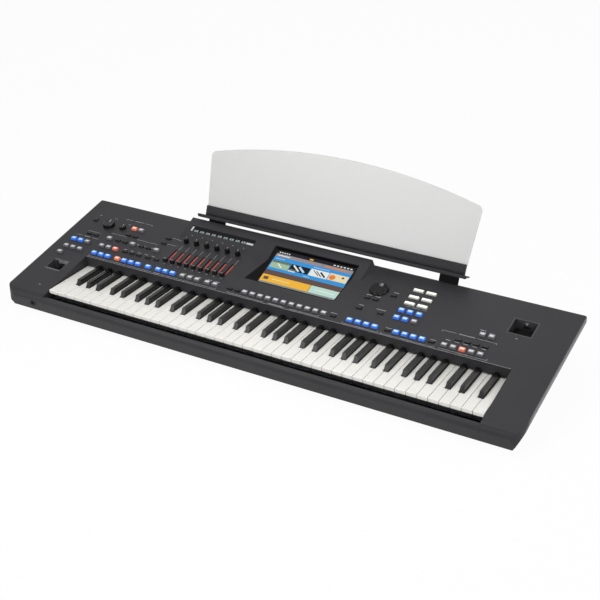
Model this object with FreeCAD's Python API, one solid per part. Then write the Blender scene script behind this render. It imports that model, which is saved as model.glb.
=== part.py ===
import FreeCAD, Part
import math, os

V = FreeCAD.Vector
os.makedirs("parts", exist_ok=True)

# Body of the instrument. X runs along the keys from their middle, Y to the back, Z up from the table.
left_block = 110.0
right_block = 84.0
body_depth = 456.0
foot_height = 5.0
key_top_height = 58.0
nose_overhang = 26.0
white_visible = 139.0
panel_edge_rise = 26.0
panel_slope = 11.8
panel_run = 210.0
wall = 3.0
rim_height = 11.5
undercut_angle = 28.0
toe_setback = 9.5
nose_shoulder_drop = 24.0
rear_wall_height = 47.0
rear_half_width = 514.0
rear_corner_setback = 4.0
toe_radius = 3.0
nose_radius = 18.0
crease_radius = 14.0
back_roll_radius = 9.0
deck_edge_radius = 8.0
heel_radius = 4.0
plan_radius = 5.0
front_plan_radius = 28.0
rear_plan_radius = 20.0
plan_proud = 0.3
rim_bevel = 1.8
running_gap = 0.4
seat_gap = 0.3
overrun = 6.0

# Keys: 45 white and 31 black, from an E up to a G
white_pitch = 23.5
white_count = 45
first_white_share = 2
key_gap = 1.0
white_thickness = 9.0
black_tip = 49.6
black_length = 88.0
black_rise = 11.5
black_base = 11.4
black_top = 9.0
black_slope = 7.0
black_seat = 6.0
black_side_gap = 1.0
key_offset_near = 3.0
key_offset_far = 4.0
pivot_reach = 200.0
stem_tail = 9.0
stem_drop = 1.2
pivot_notch = 3.0
pivot_notch_depth = 2.0
blade_thickness = 2.0
blade_entry = 1.2
key_end_gap = 1.0
fallboard_lip = 3.0
fallboard_thickness = 2.5
key_dip = 10.0

# Key bed under the keys
bed_depth = 33.0
bed_sheet = 2.0
bed_front = 10.0
bed_rear = 216.0
bed_rib = 4.0
bed_rib_shares = (-1, -0.5, 0, 0.5, 1)
felt_front = 18.0
felt_width = 16.0
felt_thickness = 4.0
felt_clear = 0.6
contact_front = 58.0
contact_width = 64.0
board_thickness = 1.6
dome_front = 86.0
dome_width = 14.0
dome_clear = 1.2
spring_width = 5.0
spring_sheet = 0.8
spring_foot = 186.0
spring_tip = 168.0
spring_clear = 2.2

# Front rail below the key fronts
slip_height = 42.0
slip_flange = 9.0

# Raised hood along the back, with the screen and the small display
hood_left = 361.0
hood_right = 120.0
hood_crease_run = 143.0
hood_tilt = 24.0
hood_back_inset = 5.0
hood_foot_inset = 9.5
cheek_run = 12.0
cheek_drop = 15.0
sub_left = 347.0
sub_width = 177.0
sub_run = 26.0
sub_length = 17.5
sub_sink = 0.6
sub_thickness = 3.0
screen_x = -7.0
screen_run = 74.5
screen_z_above_keys = 27.0
screen_tilt = 21.0
screen_width = 197.0
screen_length = 111.0
screen_border = 4.5
screen_glass = 2.0
bezel_wall = 2.2
bezel_depth = 34.0
bezel_lip = 3.0
flank_slope_share = 1.2
lcd_thickness = 8.0
lcd_margin = 5.0

# Push buttons. Places are counted in button pitches across and row pitches up the panel.
button_pitch = 19.75
row_front = 17.4
row_pitch = 30.6
button_size = (14.0, 10.0)
slim_size = (14.0, 6.0)
bar_size = (24.0, 9.0)
power_size = (11.0, 11.0)
button_height = 5.0
slim_height = 3.4
bar_height = 3.2
power_height = 3.0
button_draft = 0.7
button_travel = 1.5
flange_margin = 1.0
flange_thickness = 1.5
shank_length = 9.0
switch_size = 6.0
board_drop = 15.0
grid_first_share = -5.1
grid_step_share = 1.005
grid_count = 11
left_button_shares = [
    (-30.3, 3.82, "power"),
    (-24.4, 3.82, "button"), (-23.4, 3.82, "button"),
    (-24.4, 2.95, "slim"), (-23.4, 2.95, "slim"),
    (-29.3, 2.04, "slim"), (-28.3, 2.04, "slim"),
    (-26.2, 2.04, "button"), (-24.95, 2.04, "slim"), (-23.95, 2.04, "slim"), (-22.75, 2.04, "button"),
    (-21.5, 2.04, "slim"), (-20.5, 2.04, "slim"), (-19.3, 2.04, "button"),
    (-30.4, 1, "button"), (-29.4, 1, "button"), (-28.4, 1, "button"),
    (-26.2, 1, "button"), (-25.2, 1, "button"), (-24.2, 1, "button"),
    (-22.8, 1, "slim"), (-21.8, 1, "slim"), (-20.8, 1, "slim"), (-19.45, 1, "slim"), (-18.25, 1, "slim"),
    (-30.4, 0, "button"), (-29.4, 0, "button"), (-28.4, 0, "button"), (-30.4, -0.84, "button"),
    (-26.2, 0, "button"), (-25.2, 0, "button"), (-24.2, 0, "button"),
    (-22.8, 0, "button"), (-21.8, 0, "button"), (-20.8, 0, "button"), (-19.8, 0, "button"),
    (-18.35, 0, "button"),
]
centre_button_shares = [
    (-19.3, 3.7, "slim"), (-19.3, 3.05, "slim"),
    (-16.9, 0, "button"), (-15.9, 0, "button"), (-14.9, 0, "button"),
    (-13.5, 0, "button"), (-12.5, 0, "button"), (-11.5, 0, "button"),
    (-10.1, 0, "button"), (-9.05, 0, "button"),
    (-7.1, 0, "slim"), (-6.1, 0, "slim"), (6.1, 0, "slim"),
] + [(grid_first_share + grid_step_share * step, 0, "button") for step in range(grid_count)]
right_button_shares = [
    (8.1, 0, "button"), (9.1, 0, "button"), (10.1, 0, "button"), (11.1, 0, "button"),
    (12.6, 0, "slim"), (13.6, 0, "button"), (14.6, 0, "button"), (15.6, 0, "button"), (16.6, 0, "button"),
    (17.65, 0, "slim"),
    (19.1, 0, "button"), (20.1, 0, "button"), (21.1, 0, "button"), (22.1, 0, "button"), (23.1, 0, "button"),
    (20.15, 0.83, "slim"), (21.15, 0.83, "slim"), (22.15, 0.83, "slim"), (23.1, 0.83, "slim"),
    (22.15, 1.93, "button"), (23.15, 1.93, "button"),
    (12.6, 1.47, "button"), (13.6, 1.47, "button"), (14.65, 1.47, "button"),
    (12.6, 2.3, "button"), (13.6, 2.3, "button"), (14.65, 2.3, "button"),
    (12.9, 3.2, "bar"), (14.4, 3.2, "bar"), (12.9, 3.95, "bar"), (14.4, 3.95, "bar"),
    (12.9, 4.75, "bar"), (14.4, 4.75, "bar"),
    (8.1, 2.74, "slim"), (9.1, 2.74, "slim"), (10.7, 3.58, "slim"), (8.1, 1.47, "slim"), (10.65, 1.47, "slim"),
]

# Rotary knobs: place across and up the panel, radius, height
live_knob_count = 6
live_knob_left = 331.5
live_knob_pitch = 28.5
live_knob_run = 134.0
live_knob_radius = 6.4
live_knob_height = 13.0
volume_x = -553.0
volume_run = 126.0
volume_radius = 15.0
volume_height = 9.0
gain_x = -513.0
gain_run = 128.0
gain_radius = 8.5
gain_height = 7.5
dial_x = 172.5
dial_run = 135.5
dial_radius = 22.0
dial_height = 4.6
dial_dimple_radius = 6.5
dial_dimple_share = 0.6
knob_taper_share = 0.9
shaft_radius = 3.0
shaft_depth = 8.0
encoder_size = 11.5
encoder_height = 5.0

# Slide faders
fader_count = 9
fader_left = 337.5
fader_pitch = 19.4
fader_run = 53.0
fader_travel = 44.0
fader_cap = (10.5, 9.0)
fader_cap_top = (9.0, 5.0)
fader_height = 8.0
fader_lift = 0.6
fader_slot = 3.0
fader_stem = 1.6
fader_stem_length = 5.0
fader_stem_depth = 8.0
pot_width = 9.0
pot_depth = 9.0
light_bar_offset = 5.5
light_bar_width = 1.6
light_bar_run = 10.0
light_bar_length = 30.0

# Joystick in the left end block
stick_x = -575.0
stick_run = -53.0
pit_width = 46.0
pit_length = 44.0
pit_depth = 20.0
gimbal_width = 30.0
gimbal_length = 24.0
gimbal_height = 8.0
gimbal_half = 2.7
gimbal_ring = 4.0
stick_block = 12.0
stick_height = 26.0
stick_top = (13.0, 5.0)
stick_base = (9.0, 9.0)
pin_radius = 1.6
pin_clear = 0.06
bearing_post = 3.0

# Recessed socket bay in the right end block
bay_x = 505.0
bay_run = 129.0
bay_width = 56.0
bay_length = 52.0
bay_depth = 26.0
bay_floor_share = 0.55
usb_width = 16.0
usb_height = 8.0
usb_depth = 16.0
usb_shell = 1.2

# Headphone socket in the left end block's front
phones_x = -560.0
phones_height = 27.0
phones_proud = 2.0
jack_bore = 3.2
jack_nut = 7.0
jack_barrel = 5.0
jack_nut_depth = 2.0
jack_length = 22.0

# Rear sockets, each in a stretch of the wall of its own
rear_socket_height = 30.0
socket_stretch = 32.0
inlet_stretch = 64.0
rear_jack_left = 330.0
rear_jack_pitch = 32.0
rear_jack_count = 7
midi_left = 80.0
midi_pitch = 32.0
midi_count = 2
midi_radius = 8.5
midi_wall = 1.4
midi_depth = 12.0
port_left = -40.0
port_pitch = 32.0
port_count = 3
port_width = 15.0
port_height = 10.0
inlet_x = -330.0
inlet_width = 30.0
inlet_height = 22.0
inlet_wall = 2.0
inlet_depth = 20.0
inlet_pin = 2.0
inlet_pin_shares = (-0.25, 0.25)

# Inner pieces
main_board_size = (260.0, 110.0)
main_board_x = 60.0
main_board_y = 116.0
chip_size = (24.0, 24.0, 2.4)
chip_x_shares = (-0.3, -0.05, 0.25)
left_board_edge = 372.0
screen_board_edge = 150.0
board_length = 152.0
right_board_length = 176.0
left_post_x = (-540.0, -460.0)
centre_post_x = (-350.0, -160.0, -20.0)
right_post_x = (188.0, 340.0)
board_post = 10.0
board_post_radius = 4.0
supply_size = (150.0, 90.0, 38.0)
supply_x = -330.0
supply_run_share = 0.65265487
foot_radius = 12.0
foot_x = 430.0
foot_front_run = 50.0
foot_rear_inset = 60.0
screw_radius = 1.8
screw_head = 3.6
screw_head_depth = 2.2
screw_length = 8.0
screw_x_shares = (-0.82, -0.41, 0.0, 0.41, 0.82)
screw_front_run = 20.0
screw_rear_inset = 30.0

# Music rest: clear plate behind a dark bar with a ledge and two legs
rest_setback = 11.0
rest_height = 80.0
rest_lean = 19.0
rest_bottom_half = 332.0
rest_flare = 13.0
rest_plate = 3.5
rest_plate_foot = 12.0
rest_shoulder = 161.0
rest_crown = 204.5
rest_corner = 14.0
bar_proud = 2.0
bar_foot = 9.0
bar_top = 33.0
bar_thickness = 6.0
ledge_reach = 24.0
ledge_thickness = 3.0
ledge_lip = 3.0
leg_inset = 9.5
leg_width = 45.0
leg_length = 66.0
leg_thickness = 5.0

# Places worked out from the sizes above
key_half_span = white_count * white_pitch / 2
opening_half = key_half_span + key_end_gap
left_x = -opening_half - left_block
right_x = opening_half + right_block
body_width = right_x - left_x
half_width = body_width / 2
middle_x = (left_x + right_x) / 2
front_y = -body_depth / 2
rear_y = body_depth / 2
key_front_y = front_y + nose_overhang
fallboard_y = key_front_y + white_visible
back_edge_y = fallboard_y + panel_run
bottom_z = foot_height
key_top_z = key_top_height
panel_edge_z = key_top_z + panel_edge_rise
tilt = math.radians(panel_slope)
rear_wall_z = bottom_z + rear_wall_height
pivot_y = key_front_y + pivot_reach
bed_z = key_top_z - bed_depth
size_of = {"button": button_size, "slim": slim_size, "bar": bar_size, "power": power_size}
height_of = {"button": button_height, "slim": slim_height, "bar": bar_height, "power": power_height}


def save(node, solids):
    # the two end blocks differ, and the middle of the body comes to x = 0
    placed = Part.makeCompound(solids)
    placed.translate(V(-middle_x, 0, 0))
    placed.exportStep("parts/%s.step" % node)


def panel_z(y):
    return panel_edge_z + (y - fallboard_y) * math.tan(tilt)


def rim_z(y):
    return panel_z(y) - rim_height / math.cos(tilt)


def block(x0, x1, y0, y1, z0, z1):
    return Part.makeBox(x1 - x0, y1 - y0, z1 - z0, V(x0, y0, z0))


def pad(x, y, size, z0, z1):
    return block(x - size[0] / 2, x + size[0] / 2, y - size[1] / 2, y + size[1] / 2, z0, z1)


def disc(x, y, radius, z0, z1):
    return Part.makeCylinder(radius, z1 - z0, V(x, y, z0))


def taper(low, high):
    # flat-sided solid between two rings of four corners
    rings = [low[::-1], high]
    for i in range(len(low)):
        j = (i + 1) % len(low)
        rings.append([low[i], low[j], high[j], high[i]])
    faces = [Part.Face(Part.makePolygon(ring + [ring[0]])) for ring in rings]
    return Part.Solid(Part.Shell(faces))


def tapered_pad(x, y, base, top, z0, z1):
    corners = ((-1, -1), (1, -1), (1, 1), (-1, 1))
    low = [V(x + i * base[0] / 2, y + j * base[1] / 2, z0) for i, j in corners]
    high = [V(x + i * top[0] / 2, y + j * top[1] / 2, z1) for i, j in corners]
    return taper(low, high)


def across(points, x0, x1):
    # prism along X of a side outline of (y, z) points
    ring = [V(x0, y, z) for y, z in points]
    return Part.Face(Part.makePolygon(ring + [ring[0]])).extrude(V(x1 - x0, 0, 0))


def inset(corners, depth):
    # the corners of a convex outline with every side moved in by depth
    moved = []
    for i, (point, radius) in enumerate(corners):
        back = (corners[i - 1][0] - point).normalize()
        ahead = (corners[(i + 1) % len(corners)][0] - point).normalize()
        half = back.getAngle(ahead) / 2
        inward = (back + ahead).normalize()
        moved.append((point + inward * (depth / math.sin(half)), max(radius - depth, 0)))
    return moved


def rounded(corners):
    # face of a convex outline whose corners have tangent arcs
    ends = []
    for i, (point, radius) in enumerate(corners):
        back = (corners[i - 1][0] - point).normalize()
        ahead = (corners[(i + 1) % len(corners)][0] - point).normalize()
        half = back.getAngle(ahead) / 2
        reach = radius / math.tan(half)
        middle = point + (back + ahead).normalize() * (radius / math.sin(half) - radius)
        ends.append((point + back * reach, middle, point + ahead * reach, radius))
    edges = []
    for i, (start, middle, end, radius) in enumerate(ends):
        if radius > 0:
            edges.append(Part.Arc(start, middle, end).toShape())
        edges.append(Part.LineSegment(end, ends[(i + 1) % len(ends)][0]).toShape())
    return Part.Face(Part.Wire(edges))


def on_panel(shape):
    # from flat panel places (x, up the slope, out of the panel) to the body
    placed = shape.copy()
    placed.rotate(V(0, 0, 0), V(1, 0, 0), panel_slope)
    placed.translate(V(0, fallboard_y, panel_edge_z))
    return placed


# Outer form of the case: side outline, plan outline and undercut ends, all shared by the shells
side_corners = [
    (V(0, front_y + toe_setback, bottom_z), toe_radius),
    (V(0, front_y, key_top_z - nose_shoulder_drop), nose_radius),
    (V(0, front_y, panel_z(front_y)), crease_radius),
    (V(0, back_edge_y, panel_z(back_edge_y)), back_roll_radius),
    (V(0, rear_y, rear_wall_z), deck_edge_radius),
    (V(0, rear_y, bottom_z), heel_radius),
]
plan_corners = [
    (V(-half_width, front_y - plan_proud, 0), front_plan_radius),
    (V(half_width, front_y - plan_proud, 0), front_plan_radius),
    (V(half_width, back_edge_y - rear_corner_setback, 0), plan_radius),
    (V(rear_half_width, rear_y + plan_proud, 0), rear_plan_radius),
    (V(-rear_half_width, rear_y + plan_proud, 0), rear_plan_radius),
    (V(-half_width, back_edge_y - rear_corner_setback, 0), plan_radius),
]
case_height = panel_z(rear_y)


def case_form(depth):
    side = rounded(inset(side_corners, depth))
    side.translate(V(-half_width, 0, 0))
    form = side.extrude(V(body_width, 0, 0))
    plan = rounded(inset(plan_corners, depth))
    form = form.common(plan.extrude(V(0, 0, case_height)))
    flare = math.tan(math.radians(undercut_angle))
    shift = depth / math.cos(math.radians(undercut_angle))
    high = half_width + (overrun + rim_height) * flare - shift
    low = half_width - (case_height - rim_height) * flare - shift
    ring = [V(-high, 0, overrun), V(high, 0, overrun), V(low, 0, -case_height), V(-low, 0, -case_height)]
    section = Part.Face(Part.makePolygon(ring + [ring[0]]))
    section.translate(V(0, -body_depth, 0))
    form = form.common(on_panel(section.extrude(V(0, body_depth * 2, 0))))
    form.translate(V(middle_x, 0, 0))
    return form


# The long top edges of the ends are bevelled.
outer = case_form(0)
for side in (-1, 1):
    ring = [V(side * (half_width - rim_bevel - overrun), 0, overrun), V(side * (half_width + overrun), 0, overrun),
            V(side * (half_width + overrun), 0, -rim_bevel - overrun)]
    corner = Part.Face(Part.makePolygon(ring + [ring[0]]))
    corner.translate(V(middle_x, -body_depth, 0))
    outer = outer.cut(on_panel(corner.extrude(V(0, body_depth * 2, 0))))
shell = outer.cut(case_form(wall))
span = body_width
above = case_height * 2
upper_zone = across([
    (front_y - overrun, -overrun), (key_front_y, -overrun), (key_front_y, rim_z(key_front_y)),
    (rear_y + overrun, rim_z(rear_y + overrun)), (rear_y + overrun, above), (front_y - overrun, above),
], -span, span)
rear_seam_y = back_edge_y - rear_corner_setback
rear_zone = block(-span, span, rear_seam_y, rear_y + overrun, bottom_z + wall, above)
lower_shell = shell.cut(upper_zone)
key_mouth = block(-opening_half, opening_half, front_y - overrun, fallboard_y, -overrun, above)


# Screen and hood frames of reference
def on_screen(shape):
    placed = shape.copy()
    placed.rotate(V(0, 0, 0), V(1, 0, 0), screen_tilt)
    placed.translate(V(screen_x, fallboard_y + screen_run, key_top_z + screen_z_above_keys))
    return placed


hood_crease_y = fallboard_y + hood_crease_run


def on_hood(shape):
    placed = shape.copy()
    placed.rotate(V(0, 0, 0), V(1, 0, 0), hood_tilt)
    placed.translate(V(0, hood_crease_y, panel_z(hood_crease_y)))
    return placed


def funnel(margin):
    # the screen well: three steep sides and a left flank that opens towards the player's left
    half = screen_width / 2 + screen_border + margin
    flank = bezel_depth * flank_slope_share
    ring = [V(-half, 0, 0), V(half, 0, 0), V(half, 0, bezel_depth), V(-half - flank, 0, bezel_depth)]
    if margin:
        ring = [V(-half, 0, -bezel_lip - lcd_thickness), V(half, 0, -bezel_lip - lcd_thickness)] + ring[2:]
        ring.append(V(-half, 0, 0))
    face = Part.Face(Part.makePolygon(ring + [ring[0]]))
    face.translate(V(0, -screen_border - margin, 0))
    return on_screen(face.extrude(V(0, screen_length + 2 * screen_border + 2 * margin, 0)))


well_cut = funnel(bezel_wall + running_gap)

# Hood: a wedge that rises from a crease in the panel to the back edge
hood_back_y = back_edge_y - hood_back_inset
hood_foot_y = back_edge_y - hood_foot_inset
hood_top_z = panel_z(hood_crease_y) + (hood_back_y - hood_crease_y) * math.tan(math.radians(hood_tilt))
hood = across([
    (hood_crease_y, panel_z(hood_crease_y)), (hood_foot_y, panel_z(hood_foot_y)), (hood_back_y, hood_top_z),
], -hood_left - cheek_run - overrun, hood_right + cheek_run + overrun)
ring = [V(-hood_left, 0, 0), V(hood_right, 0, 0), V(hood_right + cheek_run, 0, -cheek_drop),
        V(-hood_left - cheek_run, 0, -cheek_drop)]
hood_section = Part.Face(Part.makePolygon(ring + [ring[0]]))
hood = hood.common(on_hood(hood_section.extrude(V(0, panel_run, 0))))
sub_place = (-sub_left + sub_width / 2, sub_run + sub_length / 2)
sub_hole = (sub_width + running_gap, sub_length + running_gap)
sub_window = on_hood(pad(*sub_place, (sub_width, sub_length), -sub_sink - sub_thickness, -sub_sink))
sub_pocket = on_hood(pad(*sub_place, sub_hole, -sub_sink - sub_thickness, overrun))
hood = hood.cut(sub_pocket)
save("display_bridge", [hood.cut(well_cut)])
save("sub_display", [sub_window])

# Screen: glossy funnel bezel, cover glass and the display module behind it
below_surface = across([
    (fallboard_y, 0), (fallboard_y, panel_edge_z), (hood_crease_y, panel_z(hood_crease_y)),
    (hood_back_y, hood_top_z), (hood_back_y, 0),
], -half_width, half_width)
bezel = funnel(bezel_wall).common(below_surface).cut(funnel(0))
lcd_size = (screen_width + lcd_margin, screen_length + lcd_margin)
glass_size = (screen_width + 2 * screen_border, screen_length + 2 * screen_border)
screen_middle = screen_length / 2
bezel = bezel.cut(on_screen(pad(0, screen_middle, lcd_size, -bezel_lip - lcd_thickness - overrun, 0)))
bezel = bezel.cut(on_screen(pad(0, screen_middle, glass_size, -screen_glass, 0)))
save("display_bezel", [bezel])
glass_fit = (glass_size[0] - running_gap, glass_size[1] - running_gap)
save("touch_screen", [on_screen(pad(0, screen_middle, glass_fit, -screen_glass, 0))])
lcd_fit = (lcd_size[0] - running_gap, lcd_size[1] - running_gap)
save("lcd_module", [on_screen(pad(0, screen_middle, lcd_fit, -screen_glass - lcd_thickness, -screen_glass))])


# Buttons: a tapered cap on a shank, with a flange that keeps it under the panel
def button_place(share):
    return share[0] * button_pitch, row_front + share[1] * row_pitch


def push_button(share):
    x, v = button_place(share)
    width, length = size_of[share[2]]
    top = (width - 2 * button_draft, length - 2 * button_draft)
    cap = tapered_pad(x, v, (width, length), top, 0, height_of[share[2]])
    shank = pad(x, v, (width, length), -wall - seat_gap - flange_thickness, 0)
    flange = (width + 2 * flange_margin, length + 2 * flange_margin)
    flange = pad(x, v, flange, -wall - seat_gap - flange_thickness, -wall - seat_gap)
    stem = pad(x, v, (switch_size, min(switch_size, length)), -shank_length, -wall - seat_gap - flange_thickness)
    return on_panel(cap.fuse([shank, flange, stem]).removeSplitter())


def button_hole(share):
    x, v = button_place(share)
    width, length = size_of[share[2]]
    return pad(x, v, (width + 2 * running_gap, length + 2 * running_gap), -wall - overrun, overrun)


all_shares = left_button_shares + centre_button_shares + right_button_shares
save("left_buttons", [push_button(share) for share in left_button_shares])
save("centre_buttons", [push_button(share) for share in centre_button_shares])
save("right_buttons", [push_button(share) for share in right_button_shares])
panel_holes = [button_hole(share) for share in all_shares]


# Knobs: a drafted cap on a shaft that stands in its encoder
def knob(x, v, radius, height):
    cap = Part.makeCone(radius, radius * knob_taper_share, height - seat_gap, V(x, v, seat_gap))
    return cap.fuse(disc(x, v, shaft_radius, -shaft_depth, height / 2))


live_knob_x = [-live_knob_left + step * live_knob_pitch for step in range(live_knob_count)]
knob_places = [(x, live_knob_run) for x in live_knob_x]
for number, x in enumerate(live_knob_x, 1):
    save("live_knob_%d" % number, [on_panel(knob(x, live_knob_run, live_knob_radius, live_knob_height))])
save("volume_knob", [on_panel(knob(volume_x, volume_run, volume_radius, volume_height))])
save("gain_knob", [on_panel(knob(gain_x, gain_run, gain_radius, gain_height))])
dimple_place = V(dial_x, dial_run + dial_radius * dial_dimple_share, dial_height + dial_dimple_radius / 2)
dimple = Part.makeSphere(dial_dimple_radius, dimple_place, V(1, 0, 0))
save("data_dial", [on_panel(knob(dial_x, dial_run, dial_radius, dial_height).cut(dimple))])
knob_places += [(volume_x, volume_run), (gain_x, gain_run), (dial_x, dial_run)]
encoders = []
for x, v in knob_places:
    body = pad(x, v, (encoder_size, encoder_size), -shaft_depth - encoder_height, -wall - seat_gap)
    encoders.append(on_panel(body.cut(disc(x, v, shaft_radius + seat_gap, -shaft_depth - seat_gap, overrun))))
    panel_holes.append(disc(x, v, shaft_radius + running_gap, -wall - overrun, overrun))
save("rotary_encoders", encoders)

# Faders: a ridged cap on a flat stem, in a slide pot that hangs under its slot
fader_x = [-fader_left + step * fader_pitch for step in range(fader_count)]
pots = []
for number, x in enumerate(fader_x, 1):
    cap = tapered_pad(x, fader_run, fader_cap, fader_cap_top, fader_lift, fader_lift + fader_height)
    stem = pad(x, fader_run, (fader_stem, fader_stem_length), -fader_stem_depth, fader_lift + fader_height / 2)
    save("fader_%d" % number, [on_panel(cap.fuse(stem).removeSplitter())])
    low = fader_run - fader_stem_length / 2 - running_gap
    high = fader_run + fader_travel + fader_stem_length / 2 + running_gap
    slot = (x - fader_slot / 2, x + fader_slot / 2, low, high)
    panel_holes.append(block(*slot, -wall - overrun, overrun))
    pot = block(x - pot_width / 2, x + pot_width / 2, low - wall, high + wall, -wall - seat_gap - pot_depth,
                -wall - seat_gap)
    pots.append(on_panel(pot.cut(block(*slot, -wall - seat_gap - pot_depth + board_thickness, overrun))))
    bar = (x + light_bar_offset - light_bar_width / 2, x + light_bar_offset + light_bar_width / 2,
           fader_run + light_bar_run, fader_run + light_bar_run + light_bar_length)
    panel_holes.append(block(*bar, -wall - overrun, overrun))
    pots.append(on_panel(block(*bar, -wall - seat_gap - board_thickness, 0)))
save("slide_pots", pots)

# Joystick: a lever on a cross pin in a gimbal, which swings on two pins in the pit
pit_low = -pit_depth
pit_hole = pad(stick_x, stick_run, (pit_width, pit_length), pit_low - overrun, overrun)
pit = pad(stick_x, stick_run, (pit_width - running_gap, pit_length - running_gap), pit_low - wall, 0)
pit = pit.cut(pad(stick_x, stick_run, (pit_width - 2 * wall, pit_length - 2 * wall), pit_low, overrun))
axis_w = pit_low + gimbal_height
post_gap = gimbal_length / 2 + seat_gap
for side in (-1, 1):
    middle = stick_run + side * (post_gap + bearing_post / 2)
    pit = pit.fuse(pad(stick_x, middle, (stick_block, bearing_post), pit_low, axis_w + stick_block / 2))


def pin_along_v(x, v0, v1, radius):
    return Part.makeCylinder(radius, v1 - v0, V(x, v0, axis_w), V(0, 1, 0))


def pin_along_x(x0, x1, v, radius):
    return Part.makeCylinder(radius, x1 - x0, V(x0, v, axis_w), V(1, 0, 0))


pin_reach = post_gap + bearing_post
pit = pit.cut(pin_along_v(stick_x, stick_run - pin_reach, stick_run + pin_reach, pin_radius + pin_clear))
joystick_pit = on_panel(pit.removeSplitter())
ring_size = (gimbal_width, gimbal_length)
ring_hole = (gimbal_width - 2 * gimbal_ring, gimbal_length - 2 * gimbal_ring)
gimbal = pad(stick_x, stick_run, ring_size, axis_w - gimbal_half, axis_w + gimbal_half)
gimbal = gimbal.cut(pad(stick_x, stick_run, ring_hole, pit_low, overrun))
for side in (-1, 1):
    ends = sorted((stick_run + side * (gimbal_length / 2 - gimbal_ring), stick_run + side * pin_reach))
    gimbal = gimbal.fuse(pin_along_v(stick_x, *ends, pin_radius))
half_gimbal = gimbal_width / 2
gimbal = gimbal.cut(pin_along_x(stick_x - half_gimbal, stick_x + half_gimbal, stick_run, pin_radius + pin_clear))
save("joystick_gimbal", [on_panel(gimbal.removeSplitter())])
foot_size = (stick_base[0], stick_base[1])
lever = pad(stick_x, stick_run, foot_size, axis_w - gimbal_half, axis_w + gimbal_half)
lever = lever.fuse(tapered_pad(stick_x, stick_run, foot_size, stick_top, axis_w, axis_w + stick_height))
lever = lever.fuse(pin_along_x(stick_x - half_gimbal, stick_x + half_gimbal, stick_run, pin_radius))
save("joystick_lever", [on_panel(lever.removeSplitter())])

# Socket bay in the right end: a tray whose floor steps down to a back wall with the socket
bay_hole = pad(bay_x, bay_run, (bay_width, bay_length), -bay_depth - wall - overrun, overrun)
bay_size = (bay_width - running_gap, bay_length - running_gap)
bay = pad(bay_x, bay_run, bay_size, -bay_depth - wall, 0)
bay_in = (bay_width / 2 - wall, bay_length / 2 - wall)
floor_break = bay_run + bay_in[1] * (2 * bay_floor_share - 1)
hollow = [(bay_run - bay_in[1], overrun), (bay_run - bay_in[1], 0), (floor_break, -bay_depth),
          (bay_run + bay_in[1], -bay_depth), (bay_run + bay_in[1], overrun)]
bay = bay.cut(across(hollow, bay_x - bay_in[0], bay_x + bay_in[0]))
usb_low = -bay_depth + usb_height / 2
usb_face = bay_run + bay_in[1]
usb_box = block(bay_x - usb_width / 2, bay_x + usb_width / 2, usb_face, usb_face + usb_depth, usb_low,
                usb_low + usb_height)
bay = bay.cut(usb_box)
usb = usb_box.cut(block(bay_x - usb_width / 2 + usb_shell, bay_x + usb_width / 2 - usb_shell, usb_face,
                        usb_face + usb_depth - usb_shell, usb_low + usb_shell, usb_low + usb_height - usb_shell))
save("panel_wells", [joystick_pit, on_panel(bay)])
panel_holes += [pit_hole, bay_hole]


# Sockets along Y: nut, barrel and bore of a jack, whose mouth is at mouth_y and faces way
def jack(x, z, mouth_y, way):
    def tube(radius, near, far):
        low, high = sorted((mouth_y - way * near, mouth_y - way * far))
        return Part.makeCylinder(radius, high - low, V(x, low, z), V(0, 1, 0))
    whole = tube(jack_nut, 0, jack_nut_depth).fuse(tube(jack_barrel, jack_nut_depth, jack_length))
    socket = whole.cut(tube(jack_bore, 0, jack_length - wall)).removeSplitter()
    seat = tube(jack_nut, -overrun, jack_nut_depth).fuse(tube(jack_barrel, 0, jack_length))
    return socket, seat


toe_run_share = (phones_height - foot_height) / (key_top_z - nose_shoulder_drop - foot_height)
phones_y = front_y + toe_setback * (1 - toe_run_share) - phones_proud
phones, phones_seat = jack(phones_x, phones_height, phones_y, -1)
save("front_sockets", [phones, on_panel(usb)])

# Upper case: the top shell with end blocks, cheeks beside the keys and all the holes
cheek_zone = upper_zone.fuse(block(-span, span, key_front_y, fallboard_y + wall, bottom_z + wall, above))
upper = shell.common(upper_zone)
for side in (-1, 1):
    near, far = sorted((side * opening_half, side * (opening_half + wall)))
    slab = block(near, far, front_y - overrun, fallboard_y + wall, -overrun, above)
    upper = upper.fuse(outer.common(slab).common(cheek_zone))
upper = upper.cut(key_mouth)
upper = upper.cut(Part.makeCompound([on_panel(hole) for hole in panel_holes]))
upper = upper.cut(phones_seat)
upper = upper.cut(well_cut).cut(sub_pocket)

# Fallboard: the strip that closes the panel's front edge down to the keys
fallboard = block(-opening_half, opening_half, fallboard_y, fallboard_y + fallboard_thickness,
                  key_top_z + fallboard_lip, panel_edge_z - wall / math.cos(tilt))
save("fallboard", [fallboard])


# Music rest in its own leaning frame: x, back from the plate's front, up the plate
def on_rest(shape):
    placed = shape.copy()
    placed.rotate(V(0, 0, 0), V(1, 0, 0), -rest_lean)
    placed.translate(V(0, back_edge_y + rest_setback, key_top_z + rest_height))
    return placed


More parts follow.
